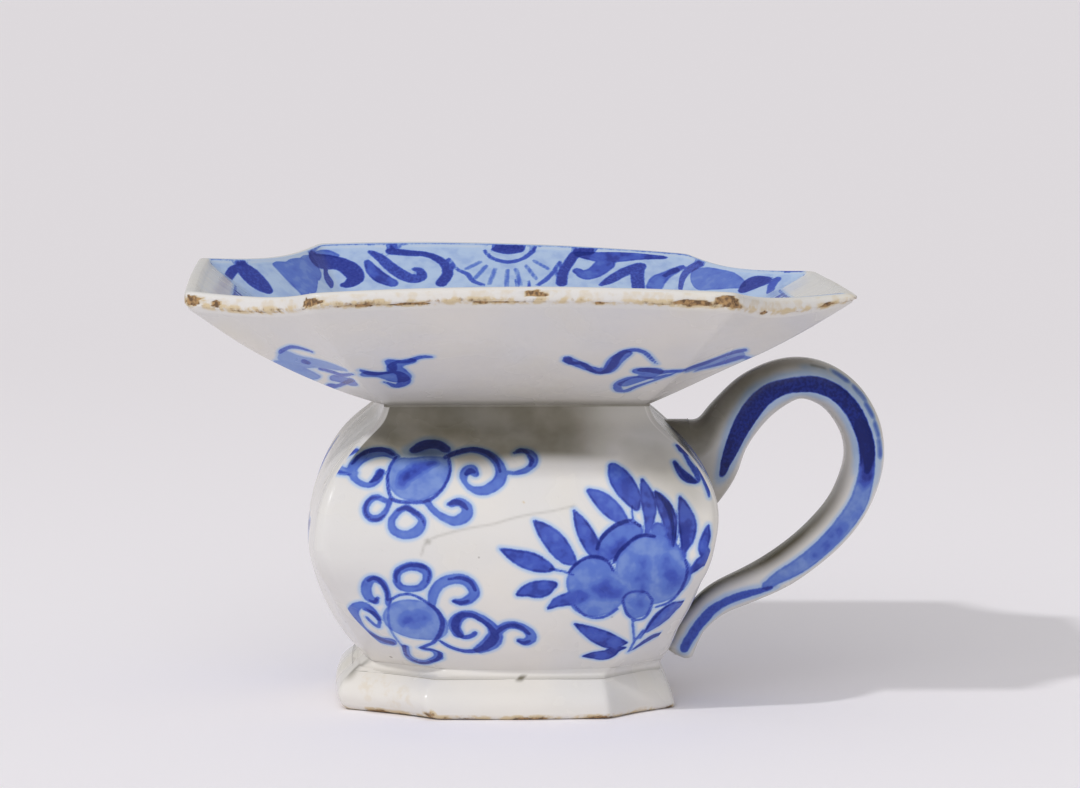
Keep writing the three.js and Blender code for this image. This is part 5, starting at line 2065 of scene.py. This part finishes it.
    def build_slip(self) -> None:
        """The bead of slip in the waist and the cove of slip over the foot, with painted shade in their
        hollows.
        """
        z, cove = SIZES, FootCove()
        bead = SlipFillet(z.neck_half - 0.15, z.neck_height, z.neck_cut, radius=0.5).surface()
        painting = Painting(bead.points.shape[:2])
        # Painted shade in the waist's recess
        painting.film(Layer.GRIME, 0.75)
        self.glazed("neck_fillet", bead, painting, "fired_slip", ("neck_slip_joint",))
        surface = cove.surface()
        painting, height = Painting(surface.points.shape[:2]), surface.points[..., 2]
        # Painted shade in the crease at the cove's foot
        painting.film(Layer.GRIME, 0.3 * (1 - smooth_step(8.6, 9.6, height)))
        painting.lay(FOOT_MARKS, ring_measure(surface.points, Side.FRONT, cove.plan), height, slice(None))
        self.glazed("foot_fillet", surface, painting, "fired_slip", ("foot_slip_joint",))


# Studio


@dataclass(frozen=True)
class Studio:
    """A pale floor, a soft key from the front left and even light all round, seen from the photo's place.

    Args:
        lens, place, pitch, yaw: the camera, in millimetres, metres and degrees.
        key, fill: ways from the object to the two lights.
        key_strength, fill_strength: their strengths.
        key_size, fill_size: their angles in degrees.
        sky, sky_colour: strength and colour of the even light.
        floor: the floor's extent, in metres: left, right, near and far.
    """

    lens: float = 159.42
    place: tuple[float, float, float] = (-0.0391, -1.0644, 0.1698)
    pitch: float = 84.523
    yaw: float = -2.117
    key: tuple[float, float, float] = (-0.80, -0.80, 1.02)
    key_strength: float = 1.05
    key_size: float = 3.5
    sky: float = 0.54
    sky_colour: tuple[float, float, float, float] = (1.0, 0.99, 0.985, 1.0)
    floor: Span = (-6.0, 6.0, -2.0, 40.0)
    fill: tuple[float, float, float] = (-0.25, -1.0, 0.45)
    fill_strength: float = 0.74
    fill_size: float = 60.0

    def build(self) -> None:
        """Sets up the floor, the lights and the camera."""
        self._floor()
        self._lights()
        self._camera()
        bpy.context.scene.view_settings.view_transform = "Standard"

    def _floor(self) -> None:
        """A large plain floor at the foot's level."""
        mesh = bpy.data.meshes.new("studio_floor")
        left, right, near, far = self.floor
        corners = [(left, near, 0), (right, near, 0), (right, far, 0), (left, far, 0)]
        mesh.from_pydata(corners, [], [(0, 1, 2, 3)])
        mesh.materials.append(PaleFloor().build())
        floor = bpy.data.objects.new("studio_floor", mesh)
        bpy.context.scene.collection.objects.link(floor)

    def _lights(self) -> None:
        """The key, a broad fill from the camera's side and an even sky."""
        self._sun("key", self.key, self.key_strength, self.key_size)
        self._sun("fill", self.fill, self.fill_strength, self.fill_size)
        world = bpy.data.worlds.new("even_light")
        world.use_nodes = True
        sky = world.node_tree.nodes["Background"].inputs
        sky["Color"].default_value, sky["Strength"].default_value = self.sky_colour, self.sky
        bpy.context.scene.world = world

    def _sun(self, name: str, way: tuple[float, float, float], strength: float, size: float) -> None:
        """Adds a distant light.

        Args:
            name: its name.
            way: the way to it from the object.
            strength, size: its strength, and its angle in degrees.
        """
        data = bpy.data.lights.new(name, "SUN")
        data.energy, data.angle = strength, math.radians(size)
        light = bpy.data.objects.new(name, data)
        light.rotation_euler = Vector(way).to_track_quat("Z", "Y").to_euler()
        bpy.context.scene.collection.objects.link(light)

    def _camera(self) -> None:
        """The camera, level with a long lens, where the photo was taken from."""
        data = bpy.data.cameras.new("camera")
        data.lens, data.sensor_width = self.lens, 36.0
        camera = bpy.data.objects.new("camera", data)
        camera.location = Vector(self.place)
        camera.rotation_euler = Euler((math.radians(self.pitch), 0.0, math.radians(self.yaw)))
        bpy.context.scene.collection.objects.link(camera)
        bpy.context.scene.camera = camera


def main() -> None:
    """Dresses the spittoon and sets the studio round it."""
    logging.basicConfig(level=logging.INFO, format="%(name)s %(message)s")
    Spittoon().build()
    Studio().build()


if __name__ == "__main__":
    main()
